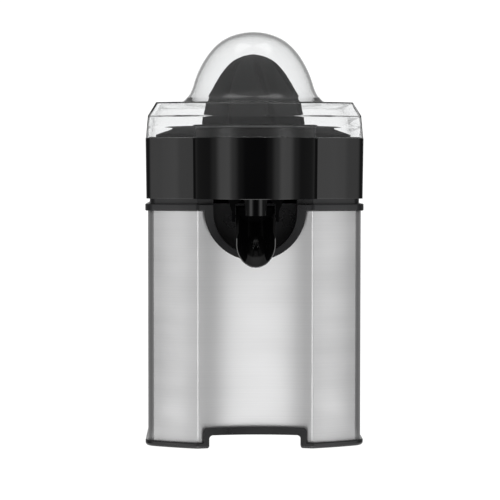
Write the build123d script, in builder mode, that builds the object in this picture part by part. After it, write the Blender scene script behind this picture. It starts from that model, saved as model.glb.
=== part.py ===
from build123d import *
import os
from math import acos, asin, atan, cos, degrees, pi, radians, sin, tan

os.makedirs("parts", exist_ok=True)

# Upright electric citrus juicer, in millimetres.
# Z is up from the bench, the front faces -Y and the drive axis is the Z axis.

# Bands stacked from the bench up
FOOT_PROUD = 1.2
TRIM_H = 5.0
SHELL_H = 186.0
COLLAR_H = 5.8
NECK_H = 4.0
BOWL_H = 49.0
SKIRT_H = 18.0
CHAMFER_H = 11.0
DOME_H = 60.0

z_trim = FOOT_PROUD + TRIM_H
z_collar = z_trim + SHELL_H
z_neck = z_collar + COLLAR_H
z_bowl = z_neck + NECK_H
z_rim = z_bowl + BOWL_H
z_shoulder = z_rim + SKIRT_H
z_deck = z_shoulder + CHAMFER_H
z_top = z_deck + DOME_H

# Plan of the housing: a front channel between two ridges, swept-back wings, a square back
HALF_W = 86.5
RIDGE_X = 46.0
RIDGE_Y = 72.0
CHANNEL_DEPTH = 7.5
WING_FALL = 19.0
WING_BOW = 1.4
BACK_Y = 100.0
RIDGE_R = 2.8
CORNER_R = 10.0
BACK_R = 24.0

# Clearances
SEAT = 0.05
RUN = 0.06
LOOSE = 0.3

# Housing walls
SHELL_T = 1.0
TRIM_PROUD = 2.25
TRIM_FOOT_ROUND = 2.4
TRIM_TOP_ROUND = 1.0
COLLAR_ROUND = 1.0
LOCATE_T = 2.5
LOCATE_H = 12.0
NECK_INSET = 1.5
NECK_T = 3.0
DECK_T = 3.0

# Base arch, feet and the posts that tie base and deck together
ARCH_HALF = 36.75
ARCH_H = 11.9
ARCH_BEAM = 6.0
ARCH_LEG = 4.6
ARCH_ROUND = 3.0
ARCH_OUT_ROUND = 2.6
LEG_ROUND = 2.4
POST_SIDE_IN = 14.5
POST_FRONT_IN = 30.0
POST_BACK_IN = 20.0
POST_R = 5.0
PAD_R = 12.0
PAD_TOP = 15.0
FOOT_R = 8.0
FOOT_H = 4.2
FLOOR_T = 2.5
VENT_L = 60.0
VENT_W = 4.0
VENT_PITCH = 10.0
VENTS = 5
TIE_R = 1.9
TIE_HEAD_R = 3.8
TIE_HEAD_H = 3.0
TIE_GRIP = 22.0

# Cord gland in the back
GLAND_X = 45.0
GLAND_Z = 36.0
GLAND_R = 6.5
GLAND_FLANGE_R = 9.5
GLAND_FLANGE_T = 3.0
GLAND_TAIL = 9.0
GLAND_BORE_R = 3.7
GLAND_FLARE = 1.6
GLAND_FLARE_IN = 2.0

# Spout bezel and its pocket
BIB_R = 40.8
BIB_RISE = 1.0
MOUTH_R = 33.6
MOUTH_DROP = 1.2
POCKET_BACK = 46.0
POCKET_T = 3.0

# Bowl
BOWL_PROUD = 1.85
BOWL_T = 2.6
BOWL_FLOOR_T = 2.5
FLOOR_RISE = 4.0
NOSE_R = 56.0
NOSE_APEX = 103.0
NOSE_BLEND_R = 3.0
LIP_H = 7.5
LIP_LOW = 0.8
LIP_T = 1.6
CHIMNEY_T = 3.0
CHIMNEY_H = 42.0
BOWL_EDGE_R = 1.2

# Drain nozzle and spout
NOZZLE_Y = 85.0
NOZZLE_R = 9.0
NOZZLE_BORE_R = 6.0
NOZZLE_H = 13.0
PIN_Y = 76.0
PIN_DROP = 14.0
PIN_R = 1.5
SPOUT_R = 15.5
SPOUT_T = 2.0
SPOUT_WALL = 4.0
SPOUT_TOP_REACH = 26.0
SPOUT_FLOOR_REACH = 40.0
SPOUT_BACK = 8.0
SPOUT_SLOPE = 48.0
LUG_T = 2.6
LUG_L = 8.0
LUG_GUSSET = 6.0
LUG_BELOW_PIN = 4.0
LUG_GAP = 0.6

# Cover
COVER_T = 2.2
COVER_NOSE_H = 10.0
CHAMFER_IN = 8.0
CAP_BLEND_R = 14.0
DOME_R = 50.3
DOME_FILLET = 12.5

# Reamer, hub and strainer
REAMER_R = 43.5
WAIST_R = 40.4
WAIST_H = 23.0
CROWN_R = 28.5
CROWN_H = 43.5
BROW_R = 16.6
BROW_H = 57.0
REAMER_H = 62.0
REAMER_LIFT = 3.5
REAMER_T = 2.5
RIBS = 7
GROOVE_W = 2.6
GROOVE_DEPTH = 3.2
GROOVE_FOOT = 8.0
GROOVE_TOP_R = 7.0
SOCKET_T = 3.0
HUB_R = 10.9
HUB_FLANGE_R = 14.0
HUB_FLANGE_T = 1.8
HUB_HEX_R = 9.0
HUB_HEX_H = 16.0
PRESS = 3.0
BASKET_R = 52.0
BASKET_T = 2.0
BASKET_DEPTH = 8.0
FLANGE_IN_R = 57.0
FLANGE_OUT_R = 81.0
FLANGE_FALL = 7.5
FLANGE_BOW = 0.7
BASKET_HUB_R = 16.0
BASKET_HUB_H = 10.0
HOOK_R = 18.5
HOOK_T = 2.0
RING_R = 46.0
RING_T = 2.5
SLOTS = 16
SLOT_W = 3.2
SLOT_IN_R = 23.0
SLOT_L = 19.0
TAB_W = 9.0
TAB_H = 5.0

# Shaft, tower and its seals
SHAFT_R = 4.0
SHAFT_FLATS = 6.4
SHAFT_BELOW_HUB = 6.0
TOWER_R = 9.5
TOWER_H = 38.0
TOWER_PLAY = 0.8
BUSH_R = 7.0
BUSH_H = 9.0
SEAL_H = 3.0
CLIP_R = 5.2
CLIP_T = 1.4
COLLAR_R = 8.0
COLLAR_T = 2.0
SPRING_R = 6.2
WIRE_R = 0.6
SPRING_TURNS = 5

# Gear train: two equal reductions, lower stage finer than the upper one
WHEEL_TEETH = 54
PINION_TEETH = 12
FINE_MODULE = 0.8
COARSE_MODULE = 1.0
WHEEL_ADDENDUM = 0.7
PINION_ADDENDUM = 1.0
WHEEL_DEDENDUM = 1.25
PINION_DEDENDUM = 1.0
PRESSURE = radians(20)
BACKLASH = 0.16
FLANK_STEPS = 2
ROTOR_TURN = 32.0
FINE_FACE = 8.0
COARSE_FACE = 10.0
LAYER_GAP = 2.0
JOURNAL_R = 9.0
SHOULDER_R = 10.0
AXLE_R = 2.0
AXLE_SEAT = 2.0

# Gearbox
DECK_DROP = 20.0
LID_T = 3.0
CASE_H = 32.0
CASE_T = 3.0
CASE_WALL = 2.2
EAR_X = 38.0
EAR_FRONT = 16.0
EAR_BACK = 66.0
EAR_R = 6.0
CASE_NOSE_R = 31.5
BEARING_T = 3.0
BEARING_PROUD = 1.5
GEAR_SCREW_R = 1.6
GEAR_SCREW_HEAD_R = 3.2
GEAR_SCREW_HEAD_H = 2.4
GEAR_SCREW_GRIP = 12.0

# Motor: a two-coil core round a magnet rotor
CORE_H = 22.0
CORE_DROP = 8.0
CORE_LEG = 12.0
CORE_GAP = 20.0
CORE_AHEAD = 14.0
CORE_BEHIND = 60.0
CORE_YOKE = 12.0
AIR_GAP = 0.8
MAGNET_R = 11.4
ROTOR_R = 2.0
ROTOR_BUSH_R = 4.0
COIL_L = 28.0
COIL_T = 5.0
COIL_BEHIND = 16.0
BRACKET_DROP = 9.0
BRACKET_T = 3.0
BRACKET_HALF = 14.0
BRACKET_FOOT = 7.0
MOTOR_SCREW_R = 1.6
MOTOR_SCREW_IN = 4.0
STANDOFF_R = 4.0
STANDOFF_GRIP = 6.0

# Switch under the shaft
SWITCH_L = 27.8
SWITCH_W = 10.3
SWITCH_H = 15.9
SWITCH_AHEAD = 8.0
SWITCH_FRONT = 4.1
SWITCH_ARM_T = 2.8
BUTTON_W = 3.0
BUTTON_L = 4.0
BUTTON_PROUD = 5.6
BUTTON_SUNK = 3.0
PEG_R = 1.5
PEG_IN = 4.0
PEG_UP = 4.0

CLEAR_CUT = 400.0
BASE_ALIGN = (Align.CENTER, Align.CENTER, Align.MIN)


def body_plan(channel_depth, ridge_r):
    """Outline of the housing from above, its front a channel or flat and its ridges round or sharp."""
    with BuildSketch() as plan:
        with BuildLine():
            if channel_depth:
                middle = (0, channel_depth - RIDGE_Y)
                ThreePointArc((-RIDGE_X, -RIDGE_Y), middle, (RIDGE_X, -RIDGE_Y))
            else:
                Line((-RIDGE_X, -RIDGE_Y), (RIDGE_X, -RIDGE_Y))
            for side in (1, -1):
                ridge = (side * RIDGE_X, -RIDGE_Y)
                shoulder = (side * HALF_W, WING_FALL - RIDGE_Y)
                SagittaArc(ridge, shoulder, -side * WING_BOW)
                Line(shoulder, (side * HALF_W, BACK_Y))
            Line((-HALF_W, BACK_Y), (HALF_W, BACK_Y))
        make_face()
        fillet(corners(plan, HALF_W, BACK_Y), BACK_R)
        fillet(corners(plan, HALF_W, WING_FALL - RIDGE_Y), CORNER_R)
        if ridge_r:
            fillet(corners(plan, RIDGE_X, -RIDGE_Y), ridge_r)
    return plan.sketch


def corners(plan, x, y):
    """The left and right corners of an outline at this place."""
    return [v for v in plan.vertices() if abs(abs(v.X) - x) < SEAT and abs(v.Y - y) < SEAT]


def grown(plan, amount):
    """The outline moved outwards by this amount, or inwards where it is negative."""
    return offset(plan, amount=amount)


def gear_plan(teeth, module, addendum, dedendum, tooth_at):
    """Outline of a spur gear with a tooth centred at this angle, its flanks chords of the involute."""
    pitch_r = teeth * module / 2
    base_r = pitch_r * cos(PRESSURE)
    tip_r = pitch_r + addendum * module
    root_r = pitch_r - dedendum * module
    half_pitch = (pi * module / 2 - BACKLASH) / (2 * pitch_r) + tan(PRESSURE) - PRESSURE
    first_r = max(base_r, root_r)
    radii = [root_r] if root_r < base_r else []
    radii += [first_r + (tip_r - first_r) * k / FLANK_STEPS for k in range(FLANK_STEPS + 1)]
    points = []
    for tooth in range(teeth):
        middle = radians(tooth_at) + 2 * pi * tooth / teeth
        flank = []
        for r in radii:
            roll = acos(base_r / max(r, base_r))
            flank.append((r, half_pitch - tan(roll) + roll))
        points += [(r * cos(middle - a), r * sin(middle - a)) for r, a in flank]
        points += [(r * cos(middle + a), r * sin(middle + a)) for r, a in reversed(flank)]
    with BuildSketch() as plan:
        with BuildLine():
            Polyline(*points, close=True)
        make_face()
    return plan.sketch


# Outlines shared by neighbouring pieces
channel_plan = body_plan(CHANNEL_DEPTH, RIDGE_R)
flat_plan = body_plan(0, CAP_BLEND_R)
shell_in_plan = grown(channel_plan, -SHELL_T)
locate_plan = grown(channel_plan, -(SHELL_T + LOOSE))
hollow_plan = grown(channel_plan, -(SHELL_T + LOOSE + LOCATE_T))
trim_plan = grown(channel_plan, TRIM_PROUD)
neck_plan = grown(channel_plan, -NECK_INSET)
neck_in_plan = grown(channel_plan, -(NECK_INSET + NECK_T))
cap_plan = grown(flat_plan, BOWL_PROUD)

with BuildSketch() as bowl_sketch:
    add(grown(body_plan(0, 0), BOWL_PROUD))
    with Locations((0, NOSE_R - NOSE_APEX)):
        Circle(NOSE_R)
    fillet(bowl_sketch.vertices().sort_by(Axis.Y)[:2], NOSE_BLEND_R)
bowl_plan = bowl_sketch.sketch
bowl_in_plan = grown(bowl_plan, -BOWL_T)
cover_in_plan = grown(bowl_plan, -COVER_T)
lip_plan = grown(bowl_plan, -(COVER_T + LOOSE))
lip_in_plan = grown(bowl_plan, -(COVER_T + LOOSE + LIP_T))

post_x = HALF_W - POST_SIDE_IN
post_places = [(x, y) for x in (-post_x, post_x) for y in (POST_FRONT_IN - RIDGE_Y, BACK_Y - POST_BACK_IN)]
ear_places = [(x, y) for x in (-EAR_X, EAR_X) for y in (-EAR_FRONT, EAR_BACK)]

# Levels of the drive, from the deck down
z_plate = z_neck - DECK_T
z_lid = z_plate - DECK_DROP
z_case_top = z_lid - LID_T
z_case = z_case_top - CASE_H
z_case_in = z_case + CASE_T
z_fine = z_case_in + BEARING_PROUD + LAYER_GAP
z_coarse = z_fine + FINE_FACE + LAYER_GAP
z_shaft = z_case - SHAFT_BELOW_HUB
z_core = z_case - CORE_DROP - CORE_H
z_bracket = z_core - BRACKET_DROP
z_tower = z_neck + TOWER_H
z_switch = z_shaft - SEAT - BUTTON_PROUD
z_arch = ARCH_H + ARCH_BEAM
z_floor = PAD_TOP + FLOOR_T

# Levels of the parts that lift off
z_chimney = z_bowl + CHIMNEY_H
z_basket = z_chimney + BASKET_HUB_H
z_flange = z_basket + BASKET_DEPTH
z_hub = z_basket + SEAT + HUB_FLANGE_T
z_reamer = z_hub + REAMER_LIFT
z_socket = z_hub + HUB_HEX_H + PRESS + LOOSE
z_shaft_top = z_socket + PRESS
chimney_in_r = TOWER_R + 2 * LOOSE
chimney_r = chimney_in_r + CHIMNEY_T

# Axes of the gear train
idler_y = (WHEEL_TEETH + PINION_TEETH) / 2 * COARSE_MODULE
rotor_gap = (WHEEL_TEETH + PINION_TEETH) / 2 * FINE_MODULE
rotor_x = rotor_gap * cos(radians(ROTOR_TURN))
rotor_y = idler_y + rotor_gap * sin(radians(ROTOR_TURN))

# Rubber feet
with BuildPart() as rubber_feet:
    with Locations(*post_places):
        Cylinder(FOOT_R, FOOT_H, align=BASE_ALIGN)
    chamfer(rubber_feet.edges().group_by(Axis.Z)[0], FOOT_PROUD / 2)
rubber_feet.part.label = "rubber_feet"
export_step(rubber_feet.part, "parts/rubber_feet.step")

# Pads in the base that take the feet and the tie screws
with BuildPart() as base_pads:
    with BuildSketch(Plane.XY.offset(FOOT_PROUD)):
        with Locations(*post_places):
            Circle(PAD_R)
        add(locate_plan, mode=Mode.INTERSECT)
    extrude(amount=PAD_TOP - FOOT_PROUD)

# Base frame: trim ring, upstand inside the shell and the raised arch at the front
with BuildPart() as base_frame:
    with BuildSketch(Plane.XY.offset(FOOT_PROUD)):
        add(trim_plan)
    extrude(amount=TRIM_H)
    fillet(base_frame.faces().sort_by(Axis.Z)[-1].edges(), TRIM_TOP_ROUND)
    with BuildSketch(Plane.XY.offset(FOOT_PROUD)):
        add(trim_plan)
        with Locations((0, -RIDGE_Y)):
            Rectangle(2 * (ARCH_HALF + ARCH_LEG), RIDGE_Y, mode=Mode.INTERSECT)
    extrude(amount=z_arch - FOOT_PROUD)
    fillet(base_frame.edges().filter_by(Axis.Y).group_by(Axis.Z)[-1], ARCH_OUT_ROUND)
    fillet(base_frame.faces().sort_by(Axis.Z)[0].edges(), TRIM_FOOT_ROUND)
    with BuildSketch(Plane.XY.offset(z_trim)):
        add(locate_plan)
    extrude(amount=LOCATE_H)
    with BuildSketch(Plane.XY.offset(FOOT_PROUD)):
        add(hollow_plan)
    extrude(amount=TRIM_H + LOCATE_H, mode=Mode.SUBTRACT)
    with BuildSketch(Plane.XZ):
        with Locations((0, FOOT_PROUD)):
            Rectangle(2 * (ARCH_HALF + LEG_ROUND), 2 * LEG_ROUND)
        with GridLocations(2 * (ARCH_HALF + LEG_ROUND), 2 * (FOOT_PROUD + LEG_ROUND), 2, 2):
            Circle(LEG_ROUND, mode=Mode.SUBTRACT)
        RectangleRounded(2 * ARCH_HALF, 2 * ARCH_H, ARCH_ROUND)
    extrude(amount=RIDGE_Y + TRIM_PROUD, mode=Mode.SUBTRACT)
    add(base_pads.part)
    with Locations(*[(x, y, FOOT_PROUD) for x, y in post_places]):
        Cylinder(FOOT_R + SEAT, FOOT_H - FOOT_PROUD, align=BASE_ALIGN, mode=Mode.SUBTRACT)
    with Locations(*[(x, y, FOOT_H) for x, y in post_places]):
        Cylinder(TIE_HEAD_R + LOOSE, TIE_HEAD_H, align=BASE_ALIGN, mode=Mode.SUBTRACT)
        Cylinder(TIE_R + SEAT, PAD_TOP, align=BASE_ALIGN, mode=Mode.SUBTRACT)
base_frame.part.label = "base_frame"
export_step(base_frame.part, "parts/base_frame.step")

# Floor plate between the pads and the posts
with BuildPart() as bottom_cover:
    with BuildSketch(Plane.XY.offset(PAD_TOP)):
        add(grown(hollow_plan, -LOOSE))
        with Locations(*post_places):
            Circle(TIE_R + SEAT, mode=Mode.SUBTRACT)
        with GridLocations(0, VENT_PITCH, 1, VENTS):
            SlotOverall(VENT_L, VENT_W, mode=Mode.SUBTRACT)
    extrude(amount=FLOOR_T)
bottom_cover.part.label = "bottom_cover"
export_step(bottom_cover.part, "parts/bottom_cover.step")

# Tie screws, up through the pads into the posts
with BuildPart() as base_screws:
    with Locations(*[(x, y, FOOT_H) for x, y in post_places]):
        Cylinder(TIE_HEAD_R, TIE_HEAD_H, align=BASE_ALIGN)
        Cylinder(TIE_R, z_floor + TIE_GRIP - FOOT_H, align=BASE_ALIGN)
base_screws.part.label = "base_screws"
export_step(base_screws.part, "parts/base_screws.step")

# Steel shell, cut for the arch, the spout bezel and the cord gland
with BuildPart() as steel_shell:
    with BuildSketch(Plane.XY.offset(z_trim)):
        add(channel_plan)
        add(shell_in_plan, mode=Mode.SUBTRACT)
    extrude(amount=SHELL_H)
    with BuildSketch(Plane.XZ):
        RectangleRounded(2 * (ARCH_HALF + ARCH_LEG + SEAT), 2 * (z_arch + SEAT), ARCH_OUT_ROUND + SEAT)
        with Locations((0, z_collar + BIB_RISE)):
            Circle(BIB_R + SEAT)
    extrude(amount=RIDGE_Y, mode=Mode.SUBTRACT)
    with BuildSketch(Plane.XZ):
        with Locations((GLAND_X, GLAND_Z)):
            Circle(GLAND_R + SEAT)
    extrude(amount=-BACK_Y, mode=Mode.SUBTRACT)
steel_shell.part.label = "steel_shell"
export_step(steel_shell.part, "parts/steel_shell.step")

# Cord gland, a grommet that grips the edge of its hole, its mouth flared to ease the cord's bend
with BuildPart() as cord_gland:
    with BuildSketch(Plane.XZ.offset(GLAND_TAIL - BACK_Y)):
        with Locations((GLAND_X, GLAND_Z)):
            Circle(GLAND_R)
    extrude(amount=-(GLAND_TAIL + GLAND_FLANGE_T))
    with BuildSketch(Plane.XZ.offset(-BACK_Y)):
        with Locations((GLAND_X, GLAND_Z)):
            Circle(GLAND_FLANGE_R)
    extrude(amount=-GLAND_FLANGE_T)
    fillet(cord_gland.faces().sort_by(Axis.Y)[-1].edges(), GLAND_FLANGE_T / 2)
    with BuildSketch(Plane.XZ.offset(SHELL_T + SEAT - BACK_Y)):
        with Locations((GLAND_X, GLAND_Z)):
            Circle(GLAND_R + SHELL_T)
    extrude(amount=GLAND_FLANGE_T)
    with BuildSketch(Plane.XZ):
        with Locations((GLAND_X, GLAND_Z)):
            Circle(GLAND_BORE_R)
    extrude(amount=-(BACK_Y + GLAND_FLANGE_T), mode=Mode.SUBTRACT)
    with BuildSketch(Plane.XZ.offset(-(BACK_Y + GLAND_FLANGE_T))):
        with Locations((GLAND_X, GLAND_Z)):
            Circle(GLAND_BORE_R + GLAND_FLARE)
    flare_h = GLAND_FLANGE_T + GLAND_FLARE_IN
    extrude(amount=flare_h, taper=degrees(atan(GLAND_FLARE / flare_h)), mode=Mode.SUBTRACT)
cord_gland.part.label = "cord_gland"
export_step(cord_gland.part, "parts/cord_gland.step")

# Spout bezel: a thick U round the pocket that the spout drops into
with BuildSketch(Plane.XZ.offset(POCKET_BACK)) as mouth_sketch:
    with Locations((0, z_collar - MOUTH_DROP)):
        Circle(MOUTH_R)
    with Locations((0, z_bowl)):
        Rectangle(2 * MOUTH_R, 2 * (z_bowl - z_collar + MOUTH_DROP))

with BuildPart() as spout_bezel:
    with BuildSketch(Plane.XZ.offset(POCKET_BACK - POCKET_T)):
        with Locations((0, z_collar + BIB_RISE)):
            Circle(BIB_R)
            Rectangle(2 * BIB_R, BIB_R, align=(Align.CENTER, Align.MIN))
        with Locations((0, z_plate + BIB_R)):
            Rectangle(2 * BIB_R, 2 * BIB_R, mode=Mode.SUBTRACT)
    extrude(amount=RIDGE_Y)
    with BuildSketch(Plane.XY.offset(z_collar - BIB_R)):
        add(trim_plan)
    extrude(amount=2 * BIB_R, mode=Mode.INTERSECT)

# Top deck: collar, neck, bezel, shaft tower, gearbox bosses and the long posts
with BuildPart() as top_deck:
    with BuildSketch(Plane.XY.offset(z_collar)):
        add(trim_plan)
    extrude(amount=COLLAR_H)
    fillet(top_deck.edges().group_by(Axis.Z)[0] + top_deck.edges().group_by(Axis.Z)[-1], COLLAR_ROUND)
    with BuildSketch(Plane.XY.offset(z_collar)):
        add(hollow_plan)
    extrude(amount=COLLAR_H - DECK_T, mode=Mode.SUBTRACT)
    with BuildSketch(Plane.XY.offset(z_collar - LOCATE_H)):
        add(locate_plan)
        add(hollow_plan, mode=Mode.SUBTRACT)
    extrude(amount=LOCATE_H)
    with BuildSketch(Plane.XY.offset(z_neck)):
        add(neck_plan)
        add(neck_in_plan, mode=Mode.SUBTRACT)
    extrude(amount=NECK_H)
    add(spout_bezel.part)
    with BuildSketch(Plane.XY.offset(z_neck)):
        Circle(TOWER_R)
    extrude(amount=TOWER_H)
    with BuildSketch(Plane.XY.offset(z_floor)):
        with Locations(*post_places):
            Circle(POST_R)
    extrude(amount=z_plate - z_floor)
    with BuildSketch(Plane.XY.offset(z_lid)):
        with Locations(*ear_places):
            Circle(EAR_R)
    extrude(amount=DECK_DROP)
    add(extrude(mouth_sketch.sketch, amount=RIDGE_Y, mode=Mode.PRIVATE), mode=Mode.SUBTRACT)
    with BuildSketch(Plane.XY.offset(z_plate)):
        Circle(SHAFT_R + TOWER_PLAY)
    extrude(amount=DECK_T + TOWER_H, mode=Mode.SUBTRACT)
    with BuildSketch(Plane.XY.offset(z_tower)):
        Circle(BUSH_R + SEAT)
    extrude(amount=-(BUSH_H + SEAL_H), mode=Mode.SUBTRACT)
    with BuildSketch(Plane.XY.offset(z_floor)):
        with Locations(*post_places):
            Circle(TIE_R + SEAT)
    extrude(amount=TIE_GRIP + LOOSE, mode=Mode.SUBTRACT)
    with BuildSketch(Plane.XY.offset(z_lid)):
        with Locations(*ear_places):
            Circle(GEAR_SCREW_R + SEAT)
    extrude(amount=GEAR_SCREW_GRIP + LOOSE, mode=Mode.SUBTRACT)
top_deck.part.label = "top_deck"
export_step(top_deck.part, "parts/top_deck.step")

# Bush and lip seal at the head of the tower
with BuildPart() as shaft_bush:
    with BuildSketch(Plane.XY.offset(z_tower - SEAL_H - BUSH_H)):
        Circle(BUSH_R)
        Circle(SHAFT_R + RUN, mode=Mode.SUBTRACT)
    extrude(amount=BUSH_H)
shaft_bush.part.label = "shaft_bush"
export_step(shaft_bush.part, "parts/shaft_bush.step")

with BuildPart() as shaft_seal:
    with BuildSketch(Plane.XY.offset(z_tower - SEAL_H)):
        Circle(BUSH_R)
        Circle(SHAFT_R + RUN, mode=Mode.SUBTRACT)
    extrude(amount=SEAL_H)
    chamfer(shaft_seal.faces().sort_by(Axis.Z)[-1].edges().sort_by(SortBy.RADIUS)[0], SEAL_H / 2)
shaft_seal.part.label = "shaft_seal"
export_step(shaft_seal.part, "parts/shaft_seal.step")

# Drive shaft: round through the bush, flats in the output gear, six-sided under the reamer
z_hex = z_chimney + SEAT
z_flats = z_lid + PRESS + SEAT
with BuildPart() as drive_shaft:
    with BuildSketch(Plane.XY.offset(z_shaft)):
        Circle(SHAFT_R)
        Rectangle(SHAFT_FLATS, 2 * SHAFT_R, mode=Mode.INTERSECT)
    extrude(amount=z_flats - z_shaft)
    with BuildSketch(Plane.XY.offset(z_flats)):
        Circle(SHAFT_R)
    extrude(amount=z_hex - z_flats)
    with BuildSketch(Plane.XY.offset(z_hex)):
        RegularPolygon(SHAFT_R, 6)
    extrude(amount=z_shaft_top - z_hex)
    chamfer(drive_shaft.edges().group_by(Axis.Z)[-1], SHAFT_R / 8)
drive_shaft.part.label = "drive_shaft"
export_step(drive_shaft.part, "parts/drive_shaft.step")

# Clip under the gear hub and collar over the return spring, both fast on the shaft
with BuildPart() as shaft_clip:
    with BuildSketch(Plane.XY.offset(z_case - SEAT - CLIP_T)):
        Circle(CLIP_R)
        Circle(SHAFT_R + SEAT, mode=Mode.SUBTRACT)
    extrude(amount=CLIP_T)
shaft_clip.part.label = "shaft_clip"
export_step(shaft_clip.part, "parts/shaft_clip.step")

z_spring_collar = z_plate - 2 * COLLAR_T - LOOSE
with BuildPart() as spring_collar:
    with BuildSketch(Plane.XY.offset(z_spring_collar)):
        Circle(COLLAR_R)
        Circle(SHAFT_R + SEAT, mode=Mode.SUBTRACT)
    extrude(amount=COLLAR_T)
spring_collar.part.label = "spring_collar"
export_step(spring_collar.part, "parts/spring_collar.step")

# Return spring between the gear hub and that collar
spring_h = z_spring_collar - z_lid - 2 * (WIRE_R + SEAT)
with BuildPart() as return_spring:
    with BuildLine() as coil:
        Helix(spring_h / SPRING_TURNS, spring_h, SPRING_R, center=(0, 0, z_lid + WIRE_R + SEAT))
    with BuildSketch(Plane(origin=coil.line @ 0, z_dir=coil.line % 0)):
        Circle(WIRE_R)
    sweep(is_frenet=True)
return_spring.part.label = "return_spring"
export_step(return_spring.part, "parts/return_spring.step")

# Output gear on the drive axis, with journals in the case and the lid
with BuildPart() as output_gear:
    with BuildSketch(Plane.XY.offset(z_coarse)):
        add(gear_plan(WHEEL_TEETH, COARSE_MODULE, WHEEL_ADDENDUM, WHEEL_DEDENDUM, 90))
    extrude(amount=COARSE_FACE)
    with BuildSketch(Plane.XY.offset(z_case)):
        Circle(JOURNAL_R)
    extrude(amount=z_lid - z_case)
    with BuildSketch(Plane.XY.offset(z_case_in + BEARING_PROUD + SEAT)):
        Circle(SHOULDER_R)
    extrude(amount=z_case_top - z_case_in - 2 * (BEARING_PROUD + SEAT))
    with BuildSketch(Plane.XY.offset(z_case)):
        Circle(SHAFT_R + RUN)
        Rectangle(SHAFT_FLATS + 2 * RUN, 4 * SHAFT_R, mode=Mode.INTERSECT)
    extrude(amount=z_lid - z_case, mode=Mode.SUBTRACT)
output_gear.part.label = "output_gear"
export_step(output_gear.part, "parts/output_gear.step")

# Idler: coarse pinion over a fine wheel, turning on a fixed axle
with BuildPart() as idler_gear:
    with BuildSketch(Plane((0, idler_y, z_fine))):
        add(gear_plan(WHEEL_TEETH, FINE_MODULE, WHEEL_ADDENDUM, WHEEL_DEDENDUM, ROTOR_TURN))
    extrude(amount=FINE_FACE)
    with BuildSketch(Plane((0, idler_y, z_fine + FINE_FACE))):
        add(
            gear_plan(
                PINION_TEETH,
                COARSE_MODULE,
                PINION_ADDENDUM,
                PINION_DEDENDUM,
                180 / PINION_TEETH - 90,
            )
        )
    extrude(amount=z_coarse + COARSE_FACE - z_fine - FINE_FACE)
    with BuildSketch(Plane((0, idler_y, z_case_in + SEAT))):
        Circle(SHAFT_R)
    extrude(amount=z_fine - z_case_in - SEAT)
    with BuildSketch(Plane((0, idler_y, z_case_in))):
        Circle(AXLE_R + RUN)
    extrude(amount=CASE_H, mode=Mode.SUBTRACT)
idler_gear.part.label = "idler_gear"
export_step(idler_gear.part, "parts/idler_gear.step")

with BuildPart() as idler_axle:
    with BuildSketch(Plane((0, idler_y, z_case_in - AXLE_SEAT))):
        Circle(AXLE_R)
    extrude(amount=z_case_top - z_case_in + 2 * AXLE_SEAT)
idler_axle.part.label = "idler_axle"
export_step(idler_axle.part, "parts/idler_axle.step")

# Plain bearings of the output gear
bearing_r = JOURNAL_R + BEARING_T
with BuildPart() as lower_bush:
    with BuildSketch(Plane.XY.offset(z_case)):
        Circle(bearing_r)
        Circle(JOURNAL_R + RUN, mode=Mode.SUBTRACT)
    extrude(amount=CASE_T + BEARING_PROUD)
lower_bush.part.label = "lower_bush"
export_step(lower_bush.part, "parts/lower_bush.step")

with BuildPart() as upper_bush:
    with BuildSketch(Plane.XY.offset(z_case_top - BEARING_PROUD)):
        Circle(bearing_r)
        Circle(JOURNAL_R + RUN, mode=Mode.SUBTRACT)
    extrude(amount=LID_T + BEARING_PROUD)
upper_bush.part.label = "upper_bush"
export_step(upper_bush.part, "parts/upper_bush.step")

# Gearbox case and lid, hung from the deck's bosses
with BuildSketch() as case_sketch:
    with BuildLine():
        CenterArc((0, 0), CASE_NOSE_R, 0, 360)
        for ear_x, ear_y in ear_places:
            CenterArc((ear_x, ear_y), EAR_R, 0, 360)
    make_hull()
case_plan = case_sketch.sketch

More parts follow.
